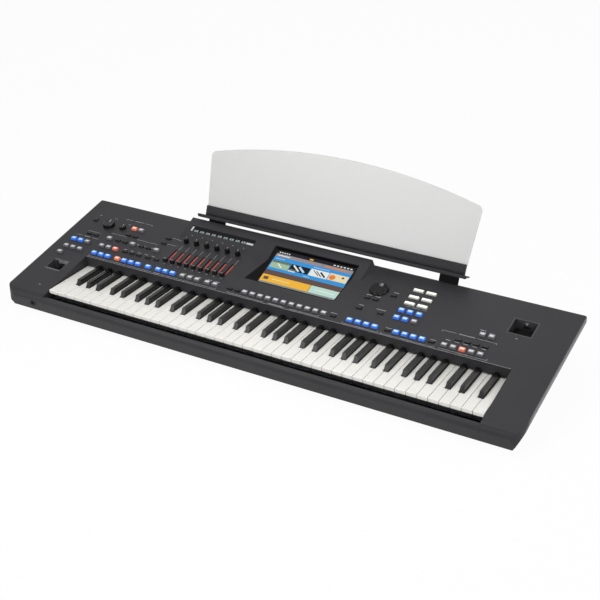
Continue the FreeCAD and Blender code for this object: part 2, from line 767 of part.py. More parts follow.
rest_top_half = rest_bottom_half + rest_flare
bar_half = rest_bottom_half + bar_proud
leg_x = rest_bottom_half - leg_inset - leg_width / 2
ledge_half = rest_top_half
crown = V(0, 0, rest_crown)
shoulder_left = V(-rest_top_half, 0, rest_shoulder)
shoulder_right = V(rest_top_half, 0, rest_shoulder)
foot_left = V(-rest_bottom_half, 0, rest_plate_foot)
foot_right = V(rest_bottom_half, 0, rest_plate_foot)
plate = Part.Face(Part.Wire([
    Part.Arc(shoulder_left, crown, shoulder_right).toShape(), Part.makeLine(shoulder_right, foot_right),
    Part.makeLine(foot_right, foot_left), Part.makeLine(foot_left, shoulder_left),
])).extrude(V(0, rest_plate, 0))
corner_edges = [edge for edge in plate.Edges if abs(edge.Length - rest_plate) < running_gap
                and edge.CenterOfMass.z > rest_shoulder / 2]
plate = plate.makeFillet(rest_corner, corner_edges)
save("music_rest_plate", [on_rest(plate)])
bar = block(-bar_half, bar_half, -bar_thickness, 0, bar_foot, bar_top)
ledge = block(-ledge_half, ledge_half, -ledge_reach, 0, bar_foot - ledge_thickness, bar_foot)
lip = block(-ledge_half, ledge_half, -ledge_reach, -ledge_reach + ledge_thickness, bar_foot, bar_foot + ledge_lip)
legs = []
leg_slots = []
pockets = []
leg_foot = bar_foot - leg_length
for side in (-1, 1):
    left = side * leg_x - leg_width / 2
    right = side * leg_x + leg_width / 2
    legs.append(block(left, right, -leg_thickness, 0, leg_foot, bar_foot))
    slot = (left - running_gap, right + running_gap, -leg_thickness - running_gap, running_gap)
    leg_slots.append(on_rest(block(*slot, leg_foot - seat_gap, bar_foot)))
    around = (slot[0] - wall, slot[1] + wall, slot[2] - wall, slot[3] + wall)
    pockets.append(on_rest(block(*around, leg_foot - seat_gap - wall, bar_foot)))
save("music_rest_ledge", [on_rest(bar.fuse([ledge, lip] + legs).removeSplitter())])

# Rear panel: sloping deck and socket wall, with slots for the rest's legs
rear_shell = lower_shell.common(rear_zone)
within = case_form(wall / 2).cut(upper_zone)
rear_shell = rear_shell.fuse([pocket.common(within) for pocket in pockets])
rear_z = bottom_z + rear_socket_height
rear_jack_x = [rear_jack_left - step * rear_jack_pitch for step in range(rear_jack_count)]
midi_x = [midi_left - step * midi_pitch for step in range(midi_count)]
port_x = [port_left - step * port_pitch for step in range(port_count)]
sockets = []
for x in rear_jack_x:
    socket, seat = jack(x, rear_z, rear_y, 1)
    sockets.append(socket)
    rear_shell = rear_shell.cut(seat)
for x in midi_x:
    can = Part.makeCylinder(midi_radius, midi_depth, V(x, rear_y - midi_depth, rear_z), V(0, 1, 0))
    rear_shell = rear_shell.cut(can)
    cup = Part.makeCylinder(midi_radius - midi_wall, midi_depth - midi_wall,
                            V(x, rear_y - midi_depth + midi_wall, rear_z), V(0, 1, 0))
    sockets.append(can.cut(cup))


def box_socket(x, width, height, depth, skin):
    body = block(x - width / 2, x + width / 2, rear_y - depth, rear_y, rear_z - height / 2, rear_z + height / 2)
    mouth = block(x - width / 2 + skin, x + width / 2 - skin, rear_y - depth + skin, rear_y,
                  rear_z - height / 2 + skin, rear_z + height / 2 - skin)
    return body, body.cut(mouth)


for x in port_x:
    body, socket = box_socket(x, port_width, port_height, usb_depth, usb_shell)
    rear_shell = rear_shell.cut(body)
    sockets.append(socket)
body, inlet = box_socket(inlet_x, inlet_width, inlet_height, inlet_depth, inlet_wall)
rear_shell = rear_shell.cut(body)
for share in inlet_pin_shares:
    x = inlet_x + share * inlet_width
    inlet = inlet.fuse(block(x - inlet_pin / 2, x + inlet_pin / 2, rear_y - inlet_depth, rear_y - inlet_depth / 3,
                             rear_z - inlet_pin, rear_z + inlet_pin))
sockets.append(inlet.removeSplitter())
save("rear_sockets", sockets)
for slot in leg_slots:
    rear_shell = rear_shell.cut(slot)
    upper = upper.cut(slot)
# The rear is moulded in pieces that meet edge to edge: the deck, the two slanted ends, and the socket wall,
# which has a joint on both sides of each socket.
rear_left = middle_x - rear_half_width + rear_plan_radius
rear_right = middle_x + rear_half_width - rear_plan_radius
rear_zones = [
    block(rear_left, rear_right, front_y, rear_y + overrun, rear_wall_z, above),
    block(-span, rear_left, front_y, rear_y + overrun, -overrun, above),
    block(rear_right, span, front_y, rear_y + overrun, -overrun, above),
]
wall_joints = {rear_left, rear_right, inlet_x - inlet_stretch / 2, inlet_x + inlet_stretch / 2}
for x in rear_jack_x + midi_x + port_x:
    wall_joints |= {x - socket_stretch / 2, x + socket_stretch / 2}
wall_joints = sorted(wall_joints)
for left, right in zip(wall_joints, wall_joints[1:]):
    if right - left > seat_gap:
        rear_zones.append(block(left, right, front_y, rear_y + overrun, -overrun, rear_wall_z))
rear_pieces = []
for zone in rear_zones:
    rear_pieces += rear_shell.common(zone).Solids
save("rear_panel", rear_pieces)
# The top is moulded in pieces that meet edge to edge: the two end blocks, the panel between them, and the
# panel's strips in front of and behind the socket bay.
bay_left = bay_x - bay_width / 2
bay_front = bay_run - bay_length / 2
top_zones = [
    block(-span, -opening_half, front_y - overrun, rear_y + overrun, -overrun, above),
    block(-opening_half, bay_left, front_y - overrun, rear_y + overrun, -overrun, above),
    on_panel(block(bay_left, opening_half, -body_depth, bay_front, -above, above)),
    on_panel(block(bay_left, opening_half, bay_front + bay_length, body_depth, -above, above)),
    block(opening_half, span, front_y - overrun, rear_y + overrun, -overrun, above),
]
top_pieces = []
for zone in top_zones:
    top_pieces += upper.common(zone).Solids
save("upper_case", top_pieces)

# Feet and bottom screws, seated in the lower case
floor_shell = lower_shell.cut(rear_zone).cut(block(-opening_half, opening_half, front_y, key_front_y, -overrun, above))
feet = []
for x in (middle_x - foot_x, middle_x + foot_x):
    for y in (key_front_y + foot_front_run, rear_y - foot_rear_inset):
        feet.append(disc(x, y, foot_radius, 0, bottom_z))
save("rubber_feet", feet)
screws = []
for share in screw_x_shares:
    for y in (key_front_y + screw_front_run, rear_y - screw_rear_inset):
        x = middle_x + share * foot_x
        head = disc(x, y, screw_head, bottom_z, bottom_z + screw_head_depth)
        screws.append(head.fuse(disc(x, y, screw_radius, bottom_z, bottom_z + screw_length)).removeSplitter())
floor_shell = floor_shell.cut(Part.makeCompound(screws))
save("case_screws", screws)
# The floor and the two ends that stand on it are separate pieces.
floor_top = bottom_z + wall
floor_zone = block(-span, span, front_y - overrun, rear_y + overrun, -overrun, floor_top)
save("lower_case", floor_shell.common(floor_zone).Solids + floor_shell.cut(floor_zone).Solids)

# Key slip: the rail below the key fronts, in line with the end blocks' fronts: a foot strip, a front wall and
# a top edge that turns in
slip_top = bottom_z + slip_height
slip_half = opening_half - seat_gap
slip_zone = block(-slip_half, slip_half, front_y - overrun, key_front_y - seat_gap, -overrun, slip_top)
flange_zone = block(-slip_half, slip_half, front_y - overrun, front_y + slip_flange, slip_top - wall, slip_top)
slip = shell.common(slip_zone)
slip_foot = slip.common(floor_zone)
slip_wall = slip.cut(floor_zone)
slip_edge = outer.common(flange_zone).cut(slip)
save("key_slip", slip_foot.Solids + slip_wall.Solids + slip_edge.Solids)

# Key places. Pitch classes run C to B; a black key sits off the joint of its two white keys.
white_names = ["c", "d", "e", "f", "g", "a", "b"]
black_after = {"c": ("c_sharp", -key_offset_near), "d": ("d_sharp", key_offset_near),
               "f": ("f_sharp", -key_offset_far), "g": ("g_sharp", 0), "a": ("a_sharp", key_offset_far)}
keys = {}
blacks = []
notch_y = key_front_y + black_tip - key_gap
neck_half = black_base / 2 + black_side_gap
stem_end_y = pivot_y + stem_tail
notch_half = pivot_notch / 2


def with_notch(key, left, right):
    return key.cut(block(left - overrun, right + overrun, pivot_y - notch_half, pivot_y + notch_half, 0,
                         key_top_z - white_thickness + pivot_notch_depth))


for index in range(white_count - 1):
    name = white_names[(index + first_white_share) % len(white_names)]
    if name in black_after:
        label, offset = black_after[name]
        blacks.append((index, label, -key_half_span + (index + 1) * white_pitch + offset))
black_places = {index: x for index, label, x in blacks}
for index in range(white_count):
    name = white_names[(index + first_white_share) % len(white_names)]
    left = -key_half_span + index * white_pitch + key_gap / 2
    right = left + white_pitch - key_gap
    neck_left = max(left, black_places[index - 1] + neck_half) if index - 1 in black_places else left
    neck_right = min(right, black_places[index] - neck_half) if index in black_places else right
    head = block(left, right, key_front_y, notch_y, key_top_z - white_thickness, key_top_z)
    neck = block(neck_left, neck_right, notch_y, stem_end_y, key_top_z - white_thickness, key_top_z)
    key = head.fuse(neck).removeSplitter()
    keys.setdefault("key_" + name, []).append(with_notch(key, neck_left, neck_right))
black_low = key_top_z - black_seat
black_high = key_top_z + black_rise
black_front_y = key_front_y + black_tip
black_back_y = black_front_y + black_length
for index, label, x in blacks:
    low = [V(x + i * black_base / 2, y, black_low) for i, y in
           ((-1, black_front_y), (1, black_front_y), (1, black_back_y), (-1, black_back_y))]
    high = [V(x + i * black_top / 2, y, black_high) for i, y in
            ((-1, black_front_y + black_slope), (1, black_front_y + black_slope), (1, black_back_y),
             (-1, black_back_y))]
    stem_low = key_top_z - white_thickness
    stem = block(x - black_base / 2, x + black_base / 2, black_front_y + black_slope, stem_end_y, stem_low,
                 key_top_z - stem_drop)
    key = taper(low, high).fuse(stem).removeSplitter()
    keys.setdefault("key_" + label, []).append(with_notch(key, x - black_base / 2, x + black_base / 2))
for node, solids in keys.items():
    save(node, solids)

# Key bed: folded steel sheet with the pivot blade, standing on ribs on the case floor
bed_half = key_half_span - key_gap
blade_z = key_top_z - white_thickness + blade_entry
bed_low = bed_z - bed_sheet
felt_low = key_top_z - white_thickness - key_dip - felt_clear - felt_thickness
shelf_y = key_front_y + bed_front
step_y = key_front_y + felt_front + felt_width
rear_edge_y = key_front_y + bed_rear
half_blade = blade_thickness / 2
bed = across([
    (shelf_y, felt_low - bed_sheet), (step_y - bed_sheet, felt_low - bed_sheet), (step_y - bed_sheet, bed_low),
    (rear_edge_y, bed_low), (rear_edge_y, bed_z), (pivot_y + half_blade, bed_z), (pivot_y + half_blade, blade_z),
    (pivot_y - half_blade, blade_z), (pivot_y - half_blade, bed_z), (step_y, bed_z), (step_y, felt_low),
    (shelf_y, felt_low),
], -bed_half, bed_half)
ribs = []
for share in bed_rib_shares:
    middle = share * (bed_half - bed_rib / 2)
    ribs.append(block(middle - bed_rib / 2, middle + bed_rib / 2, step_y - bed_sheet, rear_edge_y, bottom_z + wall,
                      bed_low))
save("keybed_frame", [bed.fuse(ribs).removeSplitter()])
felt = block(-bed_half, bed_half, key_front_y + felt_front, key_front_y + felt_front + felt_width, felt_low,
             felt_low + felt_thickness)
save("key_stop_felt", [felt])
contact_y = key_front_y + contact_front
contact_top = bed_z + board_thickness
press = key_dip * (pivot_reach - dome_front) / pivot_reach
dome_y = key_front_y + dome_front
save("key_contact_board", [
    block(-bed_half, bed_half, contact_y, contact_y + contact_width, bed_z, contact_top),
    block(-bed_half, bed_half, dome_y, dome_y + dome_width, contact_top,
          key_top_z - white_thickness - press - dome_clear),
])
springs = []
spring_places = [-key_half_span + (index + 1 / 2) * white_pitch for index in range(white_count)]
tip_z = key_top_z - white_thickness - spring_clear
for x in spring_places:
    foot_y = key_front_y + spring_foot
    tip_y = key_front_y + spring_tip
    springs.append(across([
        (foot_y, bed_z), (foot_y + spring_sheet, bed_z), (tip_y + spring_sheet, tip_z), (tip_y, tip_z),
    ], x - spring_width / 2, x + spring_width / 2))
save("key_springs", springs)

# Panel boards: one under each group of buttons, hung on posts, with a switch below each button
board_top = -board_drop + board_thickness
board_low = fallboard_thickness + wall


def panel_board(areas, table, posts):
    parts = [block(*area, -board_drop, board_top) for area in areas]
    for share in table:
        x, v = button_place(share)
        if any(area[0] < x < area[1] and area[2] < v < area[3] for area in areas):
            parts.append(pad(x, v, (switch_size, switch_size), board_top, -shank_length - button_travel - seat_gap))
    for x, v in posts:
        parts.append(disc(x, v, board_post_radius, board_top, -wall))
    return on_panel(parts[0].fuse(parts[1:]).removeSplitter())


left_area = (left_x + board_drop, -left_board_edge, board_low, board_length)
fader_area = (-left_board_edge + board_drop, -screen_board_edge, board_low, board_length)
strip_area = (-screen_board_edge, dial_x - dial_radius - board_drop, board_low, row_front + row_pitch / 2)
right_area = (dial_x - dial_radius, bay_x - bay_width / 2 - board_drop, board_low, right_board_length)
post_row = row_front + row_pitch / 2
left_board = panel_board([left_area], left_button_shares, [(x, post_row) for x in left_post_x])
centre_board = panel_board([fader_area, strip_area], centre_button_shares, [(x, post_row) for x in centre_post_x])
right_board = panel_board([right_area], right_button_shares, [(x, post_row) for x in right_post_x])

# Main board on posts and the power supply, both on the case floor behind the keys
floor_z = bottom_z + wall
supply_room = rear_y - screw_rear_inset - screw_head - rear_edge_y - supply_size[1]
supply_y = rear_edge_y + supply_run_share * supply_room + supply_size[1] / 2
main_low = floor_z + board_post
main_board = pad(main_board_x, main_board_y, main_board_size, main_low, main_low + board_thickness)
for i in (-1, 1):
    for j in (-1, 1):
        x = main_board_x + i * (main_board_size[0] / 2 - board_post)
        y = main_board_y + j * (main_board_size[1] / 2 - board_post)
        main_board = main_board.fuse(disc(x, y, board_post_radius, floor_z, main_low))
for share in chip_x_shares:
    x = main_board_x + share * main_board_size[0]
    main_board = main_board.fuse(pad(x, main_board_y, chip_size, main_low + board_thickness,
                                     main_low + board_thickness + chip_size[2]))
save("circuit_boards", [left_board, centre_board, right_board, main_board.removeSplitter()])
save("power_supply", [pad(supply_x, supply_y, supply_size, floor_z, floor_z + supply_size[2])])
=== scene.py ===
import math

import bmesh
import bpy
from mathutils import Matrix, Vector


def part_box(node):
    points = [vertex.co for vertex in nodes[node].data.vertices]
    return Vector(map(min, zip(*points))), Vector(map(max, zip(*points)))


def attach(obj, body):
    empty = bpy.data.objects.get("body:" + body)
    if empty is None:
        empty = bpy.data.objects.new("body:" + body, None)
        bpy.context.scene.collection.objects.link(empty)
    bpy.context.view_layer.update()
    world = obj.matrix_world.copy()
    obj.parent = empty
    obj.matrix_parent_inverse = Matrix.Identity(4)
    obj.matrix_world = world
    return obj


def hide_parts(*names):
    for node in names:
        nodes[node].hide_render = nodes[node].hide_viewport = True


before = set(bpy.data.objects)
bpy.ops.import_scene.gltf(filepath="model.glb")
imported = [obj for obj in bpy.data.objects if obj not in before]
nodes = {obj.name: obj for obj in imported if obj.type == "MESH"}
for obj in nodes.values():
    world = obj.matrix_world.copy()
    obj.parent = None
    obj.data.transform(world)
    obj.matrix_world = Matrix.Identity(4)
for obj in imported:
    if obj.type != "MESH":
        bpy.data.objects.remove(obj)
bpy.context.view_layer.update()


# Studio. A white paper sweep under the keyboard, soft boxes in front, above, beside and behind it,
# and the camera high on the player's right, where the photograph was taken from.
def srgb(code):
    levels = [int(code[i:i + 2], 16) / 255 for i in (0, 2, 4)]
    return [c / 12.92 if c <= 0.04045 else ((c + 0.055) / 1.055) ** 2.4 for c in levels] + [1.0]


def add_node(tree, kind, sockets=None, **settings):
    node = tree.nodes.new(kind)
    for name, value in settings.items():
        setattr(node, name, value)
    for socket, value in (sockets or {}).items():
        if isinstance(value, bpy.types.NodeSocket):
            tree.links.new(value, node.inputs[socket])
        else:
            node.inputs[socket].default_value = value
    return node


def new_finish(name):
    finish = bpy.data.materials.new(name)
    finish.use_nodes = True
    return finish


def shader(finish):
    return finish.node_tree.nodes["Principled BSDF"]


# One where the camera, a reflection or glass looks at the surface, and zero for the light it throws back.
def looked_at(tree):
    rays = add_node(tree, "ShaderNodeLightPath")
    seen = add_node(tree, "ShaderNodeMath",
                    {0: rays.outputs["Is Camera Ray"], 1: rays.outputs["Is Glossy Ray"]}, operation="MAXIMUM")
    return add_node(tree, "ShaderNodeMath", {0: seen.outputs[0], 1: rays.outputs["Is Transmission Ray"]},
                    operation="MAXIMUM").outputs[0]


# Matt paper, lit from below enough to look white, so that only the shadow beside the object is left.
paper_half = 9.0
paper_glow = 0.95
paper = new_finish("matt_white_paper")
tree = paper.node_tree
surface = shader(paper)
surface.inputs["Base Color"].default_value = srgb("f4f4f3")
surface.inputs["Roughness"].default_value = 0.8
share = add_node(tree, "ShaderNodeMath", {0: looked_at(tree), 1: paper_glow}, operation="MULTIPLY")
glow = add_node(tree, "ShaderNodeEmission", {"Color": srgb("ffffff"), "Strength": 1.0})
sweep = add_node(tree, "ShaderNodeMixShader", {0: share.outputs[0], 1: surface.outputs[0], 2: glow.outputs[0]})
tree.links.new(sweep.outputs[0], tree.nodes["Material Output"].inputs["Surface"])
sheet = bmesh.new()
bmesh.ops.create_grid(sheet, x_segments=1, y_segments=1, size=paper_half)
floor_mesh = bpy.data.meshes.new("floor")
sheet.to_mesh(floor_mesh)
sheet.free()
floor_mesh.materials.append(paper)
floor = bpy.data.objects.new("floor", floor_mesh)
bpy.context.scene.collection.objects.link(floor)

world = bpy.data.worlds.new("studio")
bpy.context.scene.world = world
world.use_nodes = True
tree = world.node_tree
ambient = tree.nodes["Background"]
ambient.inputs["Color"].default_value = srgb("e8e9ea")
ambient.inputs["Strength"].default_value = 0.45
white = add_node(tree, "ShaderNodeBackground", {"Color": srgb("ffffff"), "Strength": 1.0})
backdrop = add_node(tree, "ShaderNodeMixShader",
                    {0: looked_at(tree), 1: ambient.outputs[0], 2: white.outputs[0]})
tree.links.new(backdrop.outputs[0], tree.nodes["World Output"].inputs["Surface"])

# place, width and power of each box, turned to the floor below the object's middle
soft_boxes = {
    "front_box": ((-1.1, -2.4, 0.9), 1.3, 27.0),
    "right_box": ((1.9, -2.2, 1.1), 1.2, 25.0),
    "top_box": ((0.05, -0.2, 1.15), 0.5, 5.4),
    "side_box": ((2.7, 0.3, 0.25), 0.8, 22.0),
    "back_box": ((-0.4, 1.5, 2.1), 1.3, 5.0),
    "edge_box": ((1.5, 2.4, 1.4), 1.0, 6.0),
}
for name, (place, size, power) in soft_boxes.items():
    lamp = bpy.data.lights.new(name, "AREA")
    lamp.shape = "SQUARE"
    lamp.size = size
    lamp.energy = power
    box = bpy.data.objects.new(name, lamp)
    box.location = place
    box.rotation_mode = "QUATERNION"
    box.rotation_quaternion = Vector(place).to_track_quat("Z", "Y")
    bpy.context.scene.collection.objects.link(box)

azimuth = math.radians(29.32)
elevation = math.radians(27.68)
camera_back = 2.55469
camera_right = 0.11067
camera_up = 0.09638
back = Vector((math.sin(azimuth) * math.cos(elevation), -math.cos(azimuth) * math.cos(elevation),
               math.sin(elevation)))
right = Vector((math.cos(azimuth), math.sin(azimuth), 0))
up = back.cross(right)
low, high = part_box("fallboard")
keys_x = (low.x + high.x) / 2
key_front_y = -0.202
key_top_z = 0.058
key_fronts = Vector((keys_x, key_front_y, key_top_z))
lens = bpy.data.cameras.new("photo_camera")
lens.sensor_width = 36.0
lens.lens = 73.31
camera = bpy.data.objects.new("photo_camera", lens)
camera.location = key_fronts + back * camera_back + right * camera_right + up * camera_up
camera.rotation_mode = "QUATERNION"
camera.rotation_quaternion = back.to_track_quat("Z", "Y")
bpy.context.scene.collection.objects.link(camera)
bpy.context.scene.camera = camera
bpy.context.scene.view_settings.view_transform = "Standard"


# Case. The top, the floor with its ends, the rear and the rail below the keys are injection-moulded ABS
# with a spark-eroded grain, screwed together from below; the hood and the strip behind the keys match.
def dress(finish, *names):
    for name in names:
        nodes[name].data.materials.clear()
        nodes[name].data.materials.append(finish)


# Most finishes vary softly in spots of one size, between two colours and two roughnesses. Noise seldom leaves
# the range from low to high, so both run their course within it.
spot_low = 0.3
spot_high = 0.7


def mottled(name, dark, light, spot, matt, detail=3.0, shine=0.5):
    finish = new_finish(name)
    tree = finish.node_tree
    surface = shader(finish)
    surface.inputs["Specular IOR Level"].default_value = shine
    place = add_node(tree, "ShaderNodeTexCoord")
    spots = add_node(tree, "ShaderNodeTexNoise",
                     {"Vector": place.outputs["Object"], "Scale": 1 / spot, "Detail": detail})
    tone = add_node(tree, "ShaderNodeValToRGB", {"Fac": spots.outputs["Fac"]})
    tone.color_ramp.elements[0].position = spot_low
    tone.color_ramp.elements[0].color = srgb(dark)
    tone.color_ramp.elements[1].position = spot_high
    tone.color_ramp.elements[1].color = srgb(light)
    tree.links.new(tone.outputs["Color"], surface.inputs["Base Color"])
    sheen = add_node(tree, "ShaderNodeMapRange",
                     {"Value": spots.outputs["Fac"], "From Min": spot_low, "From Max": spot_high,
                      "To Min": matt[0], "To Max": matt[1]})
    tree.links.new(sheen.outputs["Result"], surface.inputs["Roughness"])
    return finish


# Grained ABS scatters light from pits a fifth of a millimetre wide, drawn here as 0.9 mm so that they show;
# hands polish it a little in patches the size of a palm.
pit_size = 0.0009
pit_depth = 0.0002
palm_size = 0.12


def grained(name):
    finish = mottled(name, "2b2b2d", "313133", spot=palm_size, matt=(0.42, 0.5), detail=2.0, shine=0.17)
    tree = finish.node_tree
    place = add_node(tree, "ShaderNodeTexCoord")
    grain = add_node(tree, "ShaderNodeTexNoise",
                     {"Vector": place.outputs["Object"], "Scale": 1 / pit_size, "Detail": 3.0})
    pits = add_node(tree, "ShaderNodeBump",
                    {"Height": grain.outputs["Fac"], "Strength": 0.12, "Distance": pit_depth})
    tree.links.new(pits.outputs["Normal"], shader(finish).inputs["Normal"])
    return finish


grained_abs = grained("grained_charcoal_abs")
dress(grained_abs, "lower_case", "rear_panel", "key_slip", "display_bridge", "fallboard")

# The top's two end faces are drawn a lighter grey, as high as the rim below the sloping panel and ending where
# the block's nose turns down: a painted highlight standing for the light that catches those ends.
# On the panel, x runs across from the keys' middle, v up the slope from its front edge, and w out of it.
panel_slope = math.radians(11.8)
panel_front_y = -0.063
panel_front_z = 0.084
panel = Matrix.Translation((keys_x, panel_front_y, panel_front_z)) @ Matrix.Rotation(panel_slope, 4, "X")
panel_normal = panel.to_3x3() @ Vector((0, 0, 1))
end_start = 0.612
end_lean = (0.45, 0.65)
rim_depth = 0.0122
nose_y = -0.196
nose_fade = 0.03
top_abs = grained("charcoal_abs_with_grey_ends")
tree = top_abs.node_tree
surface = shader(top_abs)
place = add_node(tree, "ShaderNodeTexCoord")
across = add_node(tree, "ShaderNodeSeparateXYZ", {0: place.outputs["Object"]})
reach = add_node(tree, "ShaderNodeMath", {0: across.outputs["X"]}, operation="ABSOLUTE")
at_end = add_node(tree, "ShaderNodeMath", {0: reach.outputs[0], 1: end_start}, operation="GREATER_THAN")
facing = add_node(tree, "ShaderNodeSeparateXYZ", {0: place.outputs["Normal"]})
sideways = add_node(tree, "ShaderNodeMath", {0: facing.outputs["X"]}, operation="ABSOLUTE")
outward = add_node(tree, "ShaderNodeMapRange",
                   {"Value": sideways.outputs[0], "From Min": end_lean[0], "From Max": end_lean[1]})
above = add_node(tree, "ShaderNodeVectorMath", {0: place.outputs["Object"], 1: panel_normal},
                 operation="DOT_PRODUCT")
rim_level = panel.translation.dot(panel_normal) - rim_depth
on_rim = add_node(tree, "ShaderNodeMath", {0: above.outputs["Value"], 1: rim_level}, operation="GREATER_THAN")
behind_nose = add_node(tree, "ShaderNodeMapRange",
                       {"Value": across.outputs["Y"], "From Min": nose_y, "From Max": nose_y + nose_fade})
end_highlight_band = behind_nose.outputs["Result"]
for limit in (at_end.outputs[0], outward.outputs["Result"], on_rim.outputs[0]):
    end_highlight_band = add_node(tree, "ShaderNodeMath", {0: end_highlight_band, 1: limit}, operation="MULTIPLY").outputs[0]
charcoal = surface.inputs["Base Color"].links[0].from_socket
tone = add_node(tree, "ShaderNodeMix", {"Factor": end_highlight_band}, data_type="RGBA")
tree.links.new(charcoal, tone.inputs["A"])
# The lighter grey set here is the painted highlight on the end faces.
tone.inputs["B"].default_value = srgb("68686a")
tree.links.new(tone.outputs["Result"], surface.inputs["Base Color"])
dress(top_abs, "upper_case")

# Smooth ABS from a polished mould is near black, with a soft sheen and faint flow marks.
satin_abs = mottled("satin_black_abs", "28282a", "2e2e30", spot=0.03, matt=(0.28, 0.38), detail=4.0, shine=0.07)
dress(satin_abs, "lcd_module", "joystick_gimbal", "front_sockets", "rear_sockets", "slide_pots")

# The feet are moulded nitrile rubber, dull and slightly dusty. The same black rubber finish also draws the sheet
# of painted shade on the socket bay's floor.
foot_rubber = mottled("moulded_black_rubber", "0c0c0c", "181817", spot=0.004, matt=(0.8, 0.9), detail=5.0,
                      shine=0.15)
dress(foot_rubber, "rubber_feet")

# The screws are blackened steel, worn a little brighter where the driver turned in them.
blackened_steel = mottled("blackened_steel", "2c2d2f", "56585b", spot=0.0012, matt=(0.35, 0.45))
shader(blackened_steel).inputs["Metallic"].default_value = 1.0
dress(blackened_steel, "case_screws")

# Inside. The key bed, springs, boards, supply and encoders are hidden in the case: folded sheet steel, green
# circuit board, grey silicone and dark felt, on posts and ribs of the floor.

# Zinc plating breaks the light in spangles of about 6 mm.
zinc_steel = mottled("zinc_plated_steel", "8d9296", "a4a8ab", spot=0.006, matt=(0.32, 0.44), detail=1.0)
shader(zinc_steel).inputs["Metallic"].default_value = 1.0
dress(zinc_steel, "keybed_frame", "key_springs", "power_supply", "rotary_encoders")

# Solder mask shows the copper tracks under it as lighter green lines, here every 8 mm. A brick of the texture
# is half a unit long at scale 1.
track_pitch = 0.008
circuit_green = new_finish("green_solder_mask")
tree = circuit_green.node_tree
surface = shader(circuit_green)
place = add_node(tree, "ShaderNodeTexCoord")
tracks = add_node(tree, "ShaderNodeTexBrick",
                  {"Vector": place.outputs["Object"], "Scale": 0.5 / track_pitch,
                   "Color1": srgb("1d5534"), "Color2": srgb("20603a"), "Mortar": srgb("2f7a4c")})
tree.links.new(tracks.outputs["Color"], surface.inputs["Base Color"])
surface.inputs["Roughness"].default_value = 0.35
dress(circuit_green, "circuit_boards")

# Contact silicone is dull, with a pale bloom; pressed felt shows its fibres.
contact_silicone = mottled("grey_contact_silicone", "5f6163", "74767a", spot=0.01, matt=(0.65, 0.75))
dress(contact_silicone, "key_contact_board")
pressed_felt = mottled("pressed_grey_felt", "242426", "3a3a3d", spot=0.0015, matt=(0.9, 1.0), detail=6.0)
dress(pressed_felt, "key_stop_felt")


# Keys. White keys are glossy moulded plastic with small rounded edges, black keys a satin plastic with a
# sloping tip. Each key is hinged at its back end, on the bed's blade.
def round_edges(shape, edges, radius, steps=2):
    bmesh.ops.bevel(shape, geom=edges, offset=radius, offset_type="OFFSET", segments=steps, profile=0.5,
                    affect="EDGES", clamp_overlap=True, material=-1)


merge_distance = 2e-6
flat_angle = 0.02
sharp_angle = 0.45


def rounded_copy(name, radius):
    shape = bmesh.new()
    shape.from_mesh(nodes[name].data)
    bmesh.ops.remove_doubles(shape, verts=shape.verts, dist=merge_distance)
    bmesh.ops.dissolve_limit(shape, angle_limit=flat_angle, verts=shape.verts, edges=shape.edges)
    round_edges(shape, [e for e in shape.edges if e.is_manifold and e.calc_face_angle() > sharp_angle], radius)
    return shape


def make_piece(shape, name, body, slot, *finishes):
    mesh = bpy.data.meshes.new(name)
    shape.to_mesh(mesh)
    shape.free()
    for finish in finishes:
        mesh.materials.append(finish)
    piece = bpy.data.objects.new(name, mesh)
    bpy.context.scene.collection.objects.link(piece)
    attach(piece, body)
    return piece


white_key_edge = 0.0009
black_key_edge = 0.0012
# White key plastic is slightly warm; fingers leave its gloss uneven over a few centimetres.
key_white = mottled("glossy_white_key_plastic", "e7e5df", "ebe9e4", spot=0.05, matt=(0.28, 0.31))
shader(key_white).inputs["IOR"].default_value = 1.49
# Black key plastic has a fine matt texture that the finger feels, half a millimetre wide, drawn as 1.4 mm.
key_black = mottled("satin_black_key_plastic", "0a0a0a", "101010", spot=0.0014, matt=(0.2, 0.26), detail=2.0,
                    shine=0.26)
bed_names = ("key_slip", "key_springs", "key_stop_felt", "key_contact_board")
for name in sorted(nodes):
    if name.startswith("key_") and name not in bed_names:
        black = name.endswith("sharp")
        keys = rounded_copy(name, black_key_edge if black else white_key_edge)
        piece = make_piece(keys, name.replace("key_", "") + "_keys", name, "black_key" if black else "white_key",
                           key_black if black else key_white)
        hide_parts(name)


# Push buttons. Clear caps over small lamps: a lit cap glows with its lamp, and every cap is drawn paler on top
# and darker, more saturated at its sides, a painted highlight and painted shade; most have a small printed mark.
# They stand in holes in the panel, on the switches of the boards.

# Lamp plastic is clouded, so a lamp behind it shows as an even light with faint patches.
def lamp_plastic(name, dark, light, glow, strength):
    finish = mottled(name, dark, light, spot=0.003, matt=(0.3, 0.4), detail=1.0, shine=0.3)
    shader(finish).inputs["Emission Color"].default_value = srgb(glow)
    shader(finish).inputs["Emission Strength"].default_value = strength
    return finish


def separate_solids(shape):
    solids = []
    known = set()
    for start in shape.verts:
        if start in known:
            continue
        known.add(start)
        solid = [start]
        for vert in solid:
            for edge in vert.link_edges:
                other = edge.other_vert(vert)
                if other not in known:
                    known.add(other)
                    solid.append(other)
        solids.append(solid)
    return solids
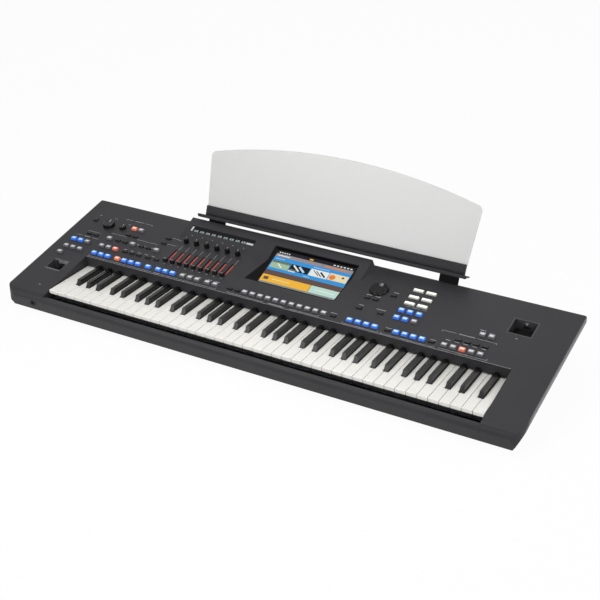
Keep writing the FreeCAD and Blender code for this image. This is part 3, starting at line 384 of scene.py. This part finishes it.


# sides drawn darker as painted shade, top and, where it has one, mark of each kind of cap
button_finishes = {
    "b": (lamp_plastic("blue_lamp_sides", "3a6cce", "4578d6", "2c66e0", 0.25),
          lamp_plastic("blue_lamp_top", "6ca2ee", "7caef2", "4a8cff", 0.2),
          lamp_plastic("blue_lamp_mark", "c4dcfa", "d2e6fc", "b0d0ff", 0.2)),
    "o": (lamp_plastic("amber_lamp_sides", "c8705a", "d27c66", "e05c34", 0.15),
          lamp_plastic("amber_lamp_top", "ee967c", "f4a48c", "ff7a50", 0.15),
          lamp_plastic("amber_lamp_mark", "ffd2c6", "ffdcd2", "ffc4b0", 0.2)),
    "r": (lamp_plastic("red_lamp_sides", "b4605a", "be6a62", "d04a3a", 0.15),
          lamp_plastic("red_lamp_top", "e28a80", "ea968c", "ff6a58", 0.12),
          lamp_plastic("red_lamp_mark", "fccac2", "ffd6ce", "ffb8a8", 0.15)),
    "s": (lamp_plastic("grey_cap_sides", "5c5c60", "68686c", "000000", 0.0),
          lamp_plastic("grey_cap_top", "9a9a9e", "a6a6aa", "000000", 0.0),
          lamp_plastic("grey_cap_mark", "cacace", "d6d6da", "ffffff", 0.04)),
    "w": (lamp_plastic("white_cap_sides", "b0b0a6", "c0c0b6", "000000", 0.0),
          lamp_plastic("white_cap_top", "f2f2ea", "f8f8f2", "ffffff", 0.18)),
    "d": (lamp_plastic("dark_cap_sides", "060607", "0a0a0b", "000000", 0.0),
          lamp_plastic("dark_cap_top", "0a0a0b", "101012", "000000", 0.0)),
}
finish_order = [finish for kind in button_finishes.values() for finish in kind]
# rows from the front of the panel to the back, each from the left, one letter for a button
button_rows = {
    "left_buttons": ("s", "sssbbbobbbb", "bbsssrddddd", "ddsddsdds", "dd", "dos"),
    "centre_buttons": ("bbbsssssddsssssssssssd", "d", "d"),
    "right_buttons": ("bbbbdbbbbdssoss", "dddd", "ddbbs", "ss", "bbb", "dd", "ww", "d", "ww", "ww"),
}
row_reach = 0.004
button_edge = 0.0005
mark_inset = 0.0028
level_share = 0.99
level_reach = 1e-5
flat = panel.inverted()
for name, rows in button_rows.items():
    caps = rounded_copy(name, button_edge)
    buttons = []
    for solid in separate_solids(caps):
        places = [flat @ vert.co for vert in solid]
        middle = sum(places, Vector()) / len(places)
        faces = list(dict.fromkeys(face for vert in solid for face in vert.link_faces))
        buttons.append((middle.y, middle.x, max(place.z for place in places), faces))
    buttons.sort(key=lambda button: button[0])
    found_rows = []
    for button in buttons:
        if found_rows and button[0] - found_rows[-1][-1][0] < row_reach:
            found_rows[-1].append(button)
        else:
            found_rows.append([button])
    for row, letters in zip(found_rows, rows):
        for (_, _, top, faces), letter in zip(sorted(row, key=lambda button: button[1]), letters):
            sides, cap_top, *mark = (finish_order.index(finish) for finish in button_finishes[letter])
            for face in faces:
                face.material_index = sides
            tops = [face for face in faces if face.normal.dot(panel_normal) > level_share
                    and (flat @ face.calc_center_median()).z > top - level_reach]
            for face in tops:
                face.material_index = cap_top
            if mark:
                bmesh.ops.inset_individual(caps, faces=tops, thickness=mark_inset, depth=0)
                for face in tops:
                    face.material_index = mark[0]
    piece = make_piece(caps, name + "_lit", name, "button_plastic", *finish_order)
    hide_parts(name)


# Knobs. Moulded black caps with grip ribs round their sides, and a sunk top with a white pointer line in it,
# pressed on the encoders' shafts.
def paint(verts, finish):
    for face in {face for vert in verts for face in vert.link_faces}:
        face.material_index = finish


def add_block(shape, size, place, lean=0.0, finish=0):
    block = bmesh.ops.create_cube(shape, size=1.0)["verts"]
    bmesh.ops.scale(shape, vec=size, verts=block)
    bmesh.ops.rotate(shape, matrix=Matrix.Rotation(lean, 3, "X"), verts=block)
    bmesh.ops.translate(shape, vec=place, verts=block)
    paint(block, finish)
    return block


rim_share = 0.12
side_share = 0.25
rib_border_share = 0.02
sink_share = 0.05
pointer_width_share = 0.16
pointer_length_share = 0.62
pointer_height_share = 0.03
panel_gap = 0.0003


def knob_shape(x, v, radius, height, ribs, taper):
    shape = bmesh.new()
    bmesh.ops.create_cone(shape, cap_ends=True, cap_tris=False, segments=2 * ribs, radius1=radius,
                          radius2=radius * taper, depth=height)
    rim = [e for e in shape.edges if all(vert.co.z > 0 for vert in e.verts)]
    round_edges(shape, rim, radius * rim_share, steps=3)
    sides = [f for f in shape.faces
             if len(f.verts) == 4 and abs(f.calc_center_median().z) < height * side_share]
    sides.sort(key=lambda f: math.atan2(f.calc_center_median().y, f.calc_center_median().x))
    bmesh.ops.inset_individual(shape, faces=sides[::2], thickness=radius * rib_border_share,
                               depth=-radius * sink_share)
    top = max(shape.faces, key=lambda f: f.calc_center_median().z)
    bmesh.ops.inset_region(shape, faces=[top], thickness=radius * rim_share, depth=-radius * sink_share)
    pointer = (radius * pointer_width_share, radius * pointer_length_share, height * pointer_height_share)
    add_block(shape, pointer, (0, radius / 2, (height - pointer[2]) / 2), finish=1)
    bmesh.ops.translate(shape, vec=(x, v, height / 2 + panel_gap), verts=shape.verts)
    bmesh.ops.transform(shape, matrix=panel, verts=shape.verts)
    return shape


# Knob plastic keeps the mould's fine texture, 2 mm clouds of lighter and darker sheen.
knob_black = mottled("moulded_knob_black", "080809", "101011", spot=0.002, matt=(0.22, 0.34), shine=0.3)
# Screen-printed ink is matt and slightly uneven, like paper. The same finish draws the painted highlight along
# the panel's front edge.
print_white = mottled("screen_printed_white_ink", "9a9a9c", "b4b4b6", spot=0.0008, matt=(0.55, 0.65))
live_knob_x = -0.3315
live_knob_pitch = 0.0285
live_knob_count = 6
# name, place across and up the panel, radius, height, ribs and taper
knobs = [("live_knob_%d" % (step + 1), live_knob_x + live_knob_pitch * step, 0.134, 0.0064, 0.0127, 14, 0.86)
         for step in range(live_knob_count)]
knobs += [("volume_knob", -0.553, 0.126, 0.015, 0.0087, 26, 0.9),
          ("gain_knob", -0.513, 0.128, 0.0085, 0.0072, 16, 0.9)]
for name, x, v, radius, height, ribs, taper in knobs:
    piece = make_piece(knob_shape(x, v, radius, height, ribs, taper), name + "_cap", name, "knob_plastic",
                       knob_black, print_white)
    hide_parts(name)

# Data dial. A flat moulded wheel on an encoder, with a polished finger dimple near its edge. Its top is turned
# in fine rings.
dial_x = 0.1725
dial_v = 0.1355
dial_top = 0.0046
dial_edge = 0.0006
# Turned rings 0.2 mm apart blur the light across them, drawn about 0.6 mm apart. The texture's rings are a
# tenth of pi apart at scale 1.
ring_pitch = 0.0005655
ring_depth = 0.0002
spun_black = mottled("spun_black_dial", "070708", "0c0c0d", spot=0.004, matt=(0.2, 0.3), shine=0.16)
tree = spun_black.node_tree
place = add_node(tree, "ShaderNodeTexCoord")
centre = add_node(tree, "ShaderNodeMapping", {"Vector": place.outputs["Object"]}, vector_type="TEXTURE")
centre.inputs["Location"].default_value = panel @ Vector((dial_x, dial_v, dial_top))
centre.inputs["Rotation"].default_value = (panel_slope, 0, 0)
rings = add_node(tree, "ShaderNodeTexWave",
                 {"Vector": centre.outputs["Vector"], "Scale": math.pi / 10 / ring_pitch},
                 wave_type="RINGS", rings_direction="Z")
cuts = add_node(tree, "ShaderNodeBump",
                {"Height": rings.outputs["Fac"], "Strength": 0.3, "Distance": ring_depth})
tree.links.new(cuts.outputs["Normal"], shader(spun_black).inputs["Normal"])
# The dimple is polished plastic, drawn a much lighter grey than the dial as a painted highlight.
polished_dimple = mottled("polished_dimple", "48484a", "5c5c5e", spot=0.004, matt=(0.12, 0.2), shine=0.9)
dimple_v = 0.1487
dimple_radius = 0.0055
dimple_start = 0.0002
dimple = panel @ Vector((dial_x, dimple_v, dial_top))
dial = rounded_copy("data_dial", dial_edge)
for face in dial.faces:
    offset = face.calc_center_median() - dimple
    if offset.length < dimple_radius and offset.dot(panel_normal) < -dimple_start:
        face.material_index = 1
piece = make_piece(dial, "data_wheel", "data_dial", "knob_plastic", spun_black, polished_dimple)
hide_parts("data_dial")

# Faders. Small tapered caps with a light index line, on flat stems that run in slots; beside each slot a strip
# of clear plastic is lit from below.
# A thin dark red frame round each strip glows too: painted light standing for the red glow the strip throws on
# the panel.
fader_count = 9
fader_edge = 0.0007
index_size = (0.0084, 0.0007, 0.0003)
index_v = 0.053
index_w = 0.0086
for step in range(fader_count):
    name = "fader_%d" % (step + 1)
    cap = rounded_copy(name, fader_edge)
    low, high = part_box(name)
    index_line = add_block(cap, index_size, ((low.x + high.x) / 2 - keys_x, index_v, index_w), finish=1)
    bmesh.ops.transform(cap, matrix=panel, verts=index_line)
    piece = make_piece(cap, name + "_cap", name, "fader_plastic", knob_black, print_white)
    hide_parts(name)
guide_glow = lamp_plastic("red_light_guide", "7c4238", "8c5044", "ff6444", 0.45)
# Painted light: the thin frame round each strip glows dark red, standing for the light the strip casts on the
# panel.
red_glow_spill = lamp_plastic("ruby_acrylic", "2a0807", "380c0a", "b42414", 0.3)
slot_x = -0.3375
slot_pitch = 0.0194
guide_beside_slot = 0.0055
guide_size = (0.0011, 0.030, 0.0006)
guide_v = 0.078
guide_w = 0.0003
glow_spill_size = (0.0044, 0.036, 0.0004)
glow_spill_v = 0.076
glow_spill_w = 0.0001
guide_corner = 0.0004
upright_limit = 0.0007
guides = bmesh.new()
for step in range(fader_count):
    guide_x = slot_x + slot_pitch * step + guide_beside_slot
    add_block(guides, guide_size, (guide_x, guide_v, guide_w))
    add_block(guides, glow_spill_size, (guide_x, glow_spill_v, glow_spill_w), finish=1)
round_edges(guides, [e for e in guides.edges if e.calc_length() < upright_limit], guide_corner, steps=3)
bmesh.ops.transform(guides, matrix=panel, verts=guides.verts)
make_piece(guides, "fader_light_guides", "case", "light_plastic", guide_glow, red_glow_spill)

# Screen. A glossy black well with a colour display under glass. The page on it is drawn as plain bands of
# colour, with four simple pictures of stripes and discs.

# Polished ABS mirrors the room, a little hazy where it was wiped.
gloss_black = mottled("polished_black_abs", "050506", "080809", spot=0.05, matt=(0.06, 0.14), detail=5.0,
                      shine=0.12)
dress(gloss_black, "display_bezel", "sub_display", "touch_screen")

screen_x = keys_x - 0.007
screen_foot_y = 0.0115
screen_foot_z = 0.085
screen_slope = math.radians(21.0)
screen = Matrix.Translation((screen_x, screen_foot_y, screen_foot_z)) @ Matrix.Rotation(screen_slope, 4, "X")
# A display's light comes through a grid of dots 0.2 mm apart, drawn as 1.2 mm so that it shows.
dot_pitch = 0.0012
second_dot_share = 0.94
dot_border_share = 0.8


def display_light(code):
    finish = new_finish("display_light_" + code)
    tree = finish.node_tree
    surface = shader(finish)
    level = srgb(code)
    place = add_node(tree, "ShaderNodeTexCoord")
    dots = add_node(tree, "ShaderNodeTexBrick",
                    {"Vector": place.outputs["Object"], "Scale": 0.5 / dot_pitch, "Mortar Size": 0.04,
                     "Color1": level, "Color2": [c * second_dot_share for c in level[:3]] + [1],
                     "Mortar": [c * dot_border_share for c in level[:3]] + [1]})
    tree.links.new(dots.outputs["Color"], surface.inputs["Emission Color"])
    surface.inputs["Emission Strength"].default_value = 1.0
    surface.inputs["Base Color"].default_value = srgb("040405")
    surface.inputs["Roughness"].default_value = 0.2
    surface.inputs["Specular IOR Level"].default_value = 0.08
    return finish


def add_field(shape, place, size, finish=0, turn=0.0):
    field = bmesh.ops.create_grid(shape, x_segments=1, y_segments=1, size=0.5)["verts"]
    bmesh.ops.scale(shape, vec=(*size, 1), verts=field)
    bmesh.ops.rotate(shape, matrix=Matrix.Rotation(turn, 3, "Z"), verts=field)
    bmesh.ops.translate(shape, vec=place, verts=field)
    paint(field, finish)


page_colours = {"night": "1c1a26", "stone": "9a9092", "sky": "3a98de", "bark": "64504a", "amber": "f8bc3c",
                "mint": "c2e4d8", "mist": "8c9490", "snow": "eef2ee", "ink": "10161c", "pale": "bfe0f6",
                "coral": "ee8436", "cream": "f2e0b4", "leaf": "a8c4a4"}
page_half = 0.0985
# bands and cards: left, right, bottom and top edge from the middle of the screen's foot, and colour
bands = [
    (-page_half, page_half, 0.1010, 0.1105, "night"), (-page_half, page_half, 0.0910, 0.1010, "stone"),
    (-page_half, page_half, 0.0480, 0.0910, "sky"), (-page_half, page_half, 0.0330, 0.0480, "bark"),
    (-page_half, 0.0255, 0.0120, 0.0330, "amber"), (0.0265, page_half, 0.0120, 0.0330, "mint"),
    (-page_half, page_half, 0.0005, 0.0120, "mist"),
]
cards = [
    (-0.0965, -0.0500, 0.0560, 0.0790, "leaf"), (-0.0480, 0.0010, 0.0590, 0.0790, "ink"),
    (0.0030, 0.0490, 0.0590, 0.0800, "snow"), (0.0510, 0.0970, 0.0600, 0.0810, "cream"),
    (-0.0965, -0.0500, 0.0720, 0.0790, "ink"), (-0.0480, -0.0300, 0.0560, 0.0640, "snow"),
    (-0.0920, -0.0800, 0.0180, 0.0270, "bark"), (-0.0700, -0.0250, 0.0215, 0.0238, "cream"),
    (0.0370, 0.0880, 0.0215, 0.0238, "snow"), (0.0220, 0.0230, 0.0910, 0.1010, "bark"),
    (-0.0940, -0.0620, 0.0945, 0.0972, "snow"), (0.0300, 0.0800, 0.0945, 0.0972, "coral"),
    (-0.0150, -0.0060, 0.1030, 0.1070, "amber"), (-0.0060, 0.0100, 0.0520, 0.0535, "pale"),
    (-0.0940, -0.0700, 0.0845, 0.0860, "pale"), (0.0050, 0.0450, 0.0845, 0.0860, "pale"),
]
# rows of small cards: first left edge, pitch, width, bottom and top edge, and their colours in turn
card_rows = [(-0.094, 0.0145, 0.007, 0.0045, 0.0075, ["snow", "bark", "bark", "bark"] * 3 + ["snow"]),
             (-0.094, 0.006, 0.0035, 0.1035, 0.1065, ["snow"] * 5),
             (0.046, 0.0085, 0.005, 0.1035, 0.1065, ["snow"] * 6)]
for first, pitch, width, bottom, top, colours in card_rows:
    cards += [(first + pitch * step, first + pitch * step + width, bottom, top, colour)
              for step, colour in enumerate(colours)]
# slanting stripes: middle, length and width, and colour
stripes = [(-0.032, 0.0690, 0.024, 0.0040, "snow"), (-0.018, 0.0690, 0.022, 0.0050, "pale"),
           (0.018, 0.0700, 0.022, 0.0018, "ink"), (0.026, 0.0690, 0.022, 0.0024, "bark"),
           (0.036, 0.0690, 0.020, 0.0040, "ink"), (-0.074, 0.0660, 0.018, 0.0030, "snow")]
slant = math.radians(-38.0)
# discs: middle, radius and colour
discs = [(0.0600, 0.0690, 0.0075, "coral"), (0.0850, 0.0740, 0.0030, "bark")]
layer_gap = 0.00012
picture_w = layer_gap * 3
page = bmesh.new()
colour_order = list(page_colours)
for layer, fields in enumerate((bands, cards), 1):
    for left, right_edge, bottom, top, colour in fields:
        add_field(page, ((left + right_edge) / 2, (bottom + top) / 2, layer_gap * layer),
                  (right_edge - left, top - bottom), colour_order.index(colour))
for x, v, length, width, colour in stripes:
    add_field(page, (x, v, picture_w), (length, width), colour_order.index(colour), slant)
for x, v, radius, colour in discs:
    disc = bmesh.ops.create_circle(page, cap_ends=True, segments=24, radius=radius)["verts"]
    bmesh.ops.translate(page, vec=(x, v, picture_w), verts=disc)
    paint(disc, colour_order.index(colour))
bmesh.ops.transform(page, matrix=screen, verts=page.verts)
make_piece(page, "screen_page", "case", "screen_glass", *[display_light(code) for code in page_colours.values()])

# Small display. A strip of black glass in the hood, with rows of fine light segments over the knobs and a
# bright block at each end.
hood_y = 0.080
hood_slope = math.radians(24.0)
hood_crease = hood_y - panel_front_y
hood = (Matrix.Translation((keys_x, hood_y, panel_front_z + hood_crease * math.tan(panel_slope)))
        @ Matrix.Rotation(hood_slope, 4, "X"))
strip_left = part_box("sub_display")[0].x - keys_x
strip_foot = 0.026
strip_sink = 0.00045
# edges from the strip's left end and its foot, then 0 for a bright field and 1 for a dimmer one
marks = [(0.0015, 0.0065, 0.002, 0.0155, 0), (0.157, 0.1755, 0.001, 0.0065, 0)]
segment_start = 0.011
segment_pitch = 0.0165
for step in range(9):
    left = segment_start + segment_pitch * step
    marks += [(left, left + 0.0125, 0.0015, 0.0030, 1), (left + 0.001, left + 0.0045, 0.0040, 0.0068, 1),
              (left + 0.0060, left + 0.0115, 0.0040, 0.0068, 1)]
segments = bmesh.new()
for left, right_edge, bottom, top, brightness in marks:
    add_field(segments, (strip_left + (left + right_edge) / 2, strip_foot + (bottom + top) / 2, -strip_sink),
              (right_edge - left, top - bottom), brightness)
bmesh.ops.transform(segments, matrix=hood, verts=segments.verts)
make_piece(segments, "small_display_segments", "case", "piano_black", display_light("ccd2d2"),
           display_light("a4b2b0"))

# Panel print. Fine grey-white lines of screen-printed ink bracket the groups of buttons, short strokes label
# them, and dots mark the knobs. Such lines are 0.4 mm wide, drawn as 0.7 mm so that they show.
# One line in the same finish runs along the panel's front edge: it is a painted highlight on that edge, not
# print.
mm = 0.001
line_width = 0.0007
label_width = 0.0013
# lines: both ends, across and up the panel, in millimetres
lines = [
    (-526, 5, -345, 5), (-318, 5, -171, 5), (-526, 5, -526, 9), (-171, 5, -171, 9),
    (-140, 5, -48, 4), (20, 4, 90, 4), (-140, 5, -140, 9), (90, 4, 90, 8),
    (148, 4, 231, 4), (148, 4, 148, 8), (231, 4, 231, 8), (238, 4, 359, 4), (238, 4, 238, 8), (359, 4, 359, 8),
    (370, 6, 474, 6), (474, 6, 474, 10), (355, 62, 386, 62), (432, 62, 474, 62), (355, 62, 355, 58),
    (474, 62, 474, 58),
    (-525, 164, -506, 164), (-470, 164, -450, 164), (-525, 164, -525, 160), (-450, 164, -450, 160),
    (-607, 68, -590, 68), (-560, 68, -543, 68), (-590, 90, -553, 90), (-526, 101, -482, 101),
    (-452, 101, -394, 101),
    (-372, 137, -345, 135), (-372, 112, -346, 112), (250, 106, 262, 106), (286, 106, 298, 106),
    # the next line is a painted highlight along the panel's front edge, not print
    (-528, 0.6, 528, 0.6),
]
# a scale above each light guide
scale_foot = 99
scale_top = 118
for step in range(fader_count):
    scale_x = (slot_x + slot_pitch * step + guide_beside_slot) / mm
    lines.append((scale_x, scale_foot, scale_x, scale_top))
# labels: middle and length, in millimetres
labels = [
    (-331, 5, 18), (-14, 4, 40), (190, 4, 22), (298, 4, 26), (422, 6, 20), (409, 62, 36), (-488, 164, 26),
    (-575, 68, 18), (274, 106, 16), (-598, 155, 6), (-552, 156, 8), (-505, 146, 7), (-566, -130, 6),
    (505, 91, 5), (433, 91, 13), (455, 87, 11), (207, 74, 22), (118, 27, 15), (249, 25, 15), (350, 25, 12),
    (161, 112, 13), (181, 112, 13), (213, 139, 12), (160, 74, 12),
]
# rows of labels: first middle, pitch, height on the panel, length and count
label_rows = [(-517, 20, 84, 9, 7), (-455, 20, 57, 9, 5), (378, 19.5, 36, 10, 5), (-335, 19.4, 44, 4, 9),
              (-267, 19.8, 28, 10, 3), (-199, 20, 28, 11, 2)]
labels += [(first + pitch * step, v, length) for first, pitch, v, length, count in label_rows
           for step in range(count)]
print_lift = 0.00012
ink = bmesh.new()
for x0, v0, x1, v1 in lines:
    run = Vector((x1 - x0, v1 - v0)) * mm
    add_field(ink, ((x0 + x1) / 2 * mm, (v0 + v1) / 2 * mm, print_lift), (run.length + line_width, line_width),
              turn=math.atan2(run.y, run.x))
for x, v, length in labels:
    add_field(ink, (x * mm, v * mm, print_lift), (length * mm, label_width))
bmesh.ops.transform(ink, matrix=panel, verts=ink.verts)
dot_radius = 0.0011
dot_v = 0.0135
dots = []
for step in range(live_knob_count):
    dot = bmesh.ops.create_circle(ink, cap_ends=True, segments=12, radius=dot_radius)["verts"]
    bmesh.ops.translate(ink, vec=(live_knob_x + live_knob_pitch * step, dot_v, print_lift), verts=dot)
    dots += dot
bmesh.ops.transform(ink, matrix=hood, verts=dots)
make_piece(ink, "panel_print", "case", "case_plastic", print_white)

# Joystick. A wedge-shaped lever of satin plastic with rounded edges, in a gimbal in its pit. A shallow ramp at
# the back of the pit and a lip at its front are drawn in a paler grey, a painted highlight where they face the
# lamps.
lever_edge = 0.0008
lever = rounded_copy("joystick_lever", lever_edge)
piece = make_piece(lever, "joystick_grip", "joystick_lever", "black_plastic", satin_abs)
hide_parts("joystick_lever")
# Matt moulded ABS with flow marks a few centimetres long, drawn pale grey as a painted highlight.
pit_trim_highlight_grey = mottled("moulded_grey_abs", "58585b", "646467", spot=0.02, matt=(0.4, 0.5))
# The wells are moulded apart from the top; they are drawn a shade paler than it, painted light that lifts their
# walls out of the shade inside them.
well_highlight_abs = mottled("moulded_well_abs", "363639", "3e3e41", spot=0.02, matt=(0.42, 0.5), shine=0.3)
dress(well_highlight_abs, "panel_wells")
stick_x = -0.575
stick_v = -0.053
trim_width = 0.0398
trim_edge = 0.0003
# ramp and lip: place from the stick, height on the panel, depth, thickness and lean
pit_trim = [(0.0158, -0.0027, 0.0084, 0.0008, math.radians(38.0)), (-0.0172, -0.0012, 0.0034, 0.0022, 0.0)]
trim = bmesh.new()
for offset, w, depth, thickness, lean in pit_trim:
    add_block(trim, (trim_width, depth, thickness), (stick_x, stick_v + offset, w), lean)
round_edges(trim, trim.edges[:], trim_edge)
bmesh.ops.transform(trim, matrix=panel, verts=trim.verts)
make_piece(trim, "joystick_pit_trim", "case", "case_plastic", pit_trim_highlight_grey)

# Socket bay. A thin black sheet on the floor of the tray is painted shade that darkens the floor, and a printed
# arrow on its back wall, a head below a bar, points at the socket.
bay_x = 0.505
bay_back_v = 0.152
bay_floor_w = -0.026
shade_sheet_size = (0.0490, 0.0200, 0.0008)
shade_sheet_gap = 0.0005
shade_sheet_edge = 0.00025
floor_shade_sheet = bmesh.new()
add_block(floor_shade_sheet, shade_sheet_size, (bay_x, bay_back_v - shade_sheet_gap - shade_sheet_size[1] / 2, bay_floor_w + shade_sheet_size[2] / 2))
round_edges(floor_shade_sheet, floor_shade_sheet.edges[:], shade_sheet_edge)
bmesh.ops.transform(floor_shade_sheet, matrix=panel, verts=floor_shade_sheet.verts)
make_piece(floor_shade_sheet, "bay_mat", "case", "foot_rubber", foot_rubber)
arrow_w = -0.0090
head_radius = 0.0030
bar_size = (0.0090, 0.0011)
bar_rise = 0.0035
arrow = bmesh.new()
head = bmesh.ops.create_circle(arrow, cap_ends=True, segments=3, radius=head_radius)["verts"]
bmesh.ops.rotate(arrow, matrix=Matrix.Rotation(math.pi, 3, "Z"), verts=head)
add_field(arrow, (0, bar_rise, 0), bar_size)
bmesh.ops.rotate(arrow, matrix=Matrix.Rotation(math.pi / 2, 3, "X"), verts=arrow.verts)
bmesh.ops.translate(arrow, vec=(bay_x, bay_back_v - print_lift, arrow_w), verts=arrow.verts)
bmesh.ops.transform(arrow, matrix=panel, verts=arrow.verts)
make_piece(arrow, "bay_arrow", "case", "case_plastic", print_white)

# Music rest. A sheet of frosted acrylic with a low arch, screwed behind a black moulded bar whose ledge holds
# the score; two legs stand in the rear deck.

# Frosting scatters the light behind it, so the sheet looks pale grey and even, with a fine tooth.
frosted_acrylic = mottled("frosted_acrylic", "d1d1d0", "d7d7d6", spot=0.0012, matt=(0.45, 0.55), detail=4.0)
shader(frosted_acrylic).inputs["IOR"].default_value = 1.49
shader(frosted_acrylic).inputs["Transmission Weight"].default_value = 0.35
dress(frosted_acrylic, "music_rest_plate")
bar_edge = 0.0009
bar = rounded_copy("music_rest_ledge", bar_edge)
# The legs are powder-coated steel strip, drawn dead black beside the bar: partly their own black, partly painted
# shade below the bar.
leg_black_and_shade = mottled("black_powder_coat", "040404", "070707", spot=0.0015, matt=(0.5, 0.6), shine=0.06)
leg_height = 0.058
leg_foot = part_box("music_rest_ledge")[0]
# Faces below the legs' top take that black, painted shade included.
for face in bar.faces:
    if face.calc_center_median().z < leg_foot.z + leg_height:
        face.material_index = 1
# A low rib below the ledge's front edge stiffens it.
rest_lean = math.radians(19.0)
rest_behind_foot = 0.02329
rest_above_foot = 0.05389
rest = (Matrix.Translation((keys_x, leg_foot.y + rest_behind_foot, leg_foot.z + rest_above_foot))
        @ Matrix.Rotation(-rest_lean, 4, "X"))
ledge_front = -0.024
ledge_bottom = 0.006
rib_size = (0.686, 0.004, 0.0016)
rib_setback = 0.0005
rib_overlap = 0.0001
rib_edge = 0.0004
rib_place = (0, ledge_front + rib_setback + rib_size[1] / 2, ledge_bottom + rib_overlap - rib_size[2] / 2)
rib = add_block(bar, rib_size, rib_place)
bmesh.ops.transform(bar, matrix=rest, verts=rib)
round_edges(bar, [e for e in bar.edges if e.verts[0] in rib], rib_edge)
piece = make_piece(bar, "music_rest_bar", "music_rest", "case_plastic", satin_abs, leg_black_and_shade)
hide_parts("music_rest_ledge")
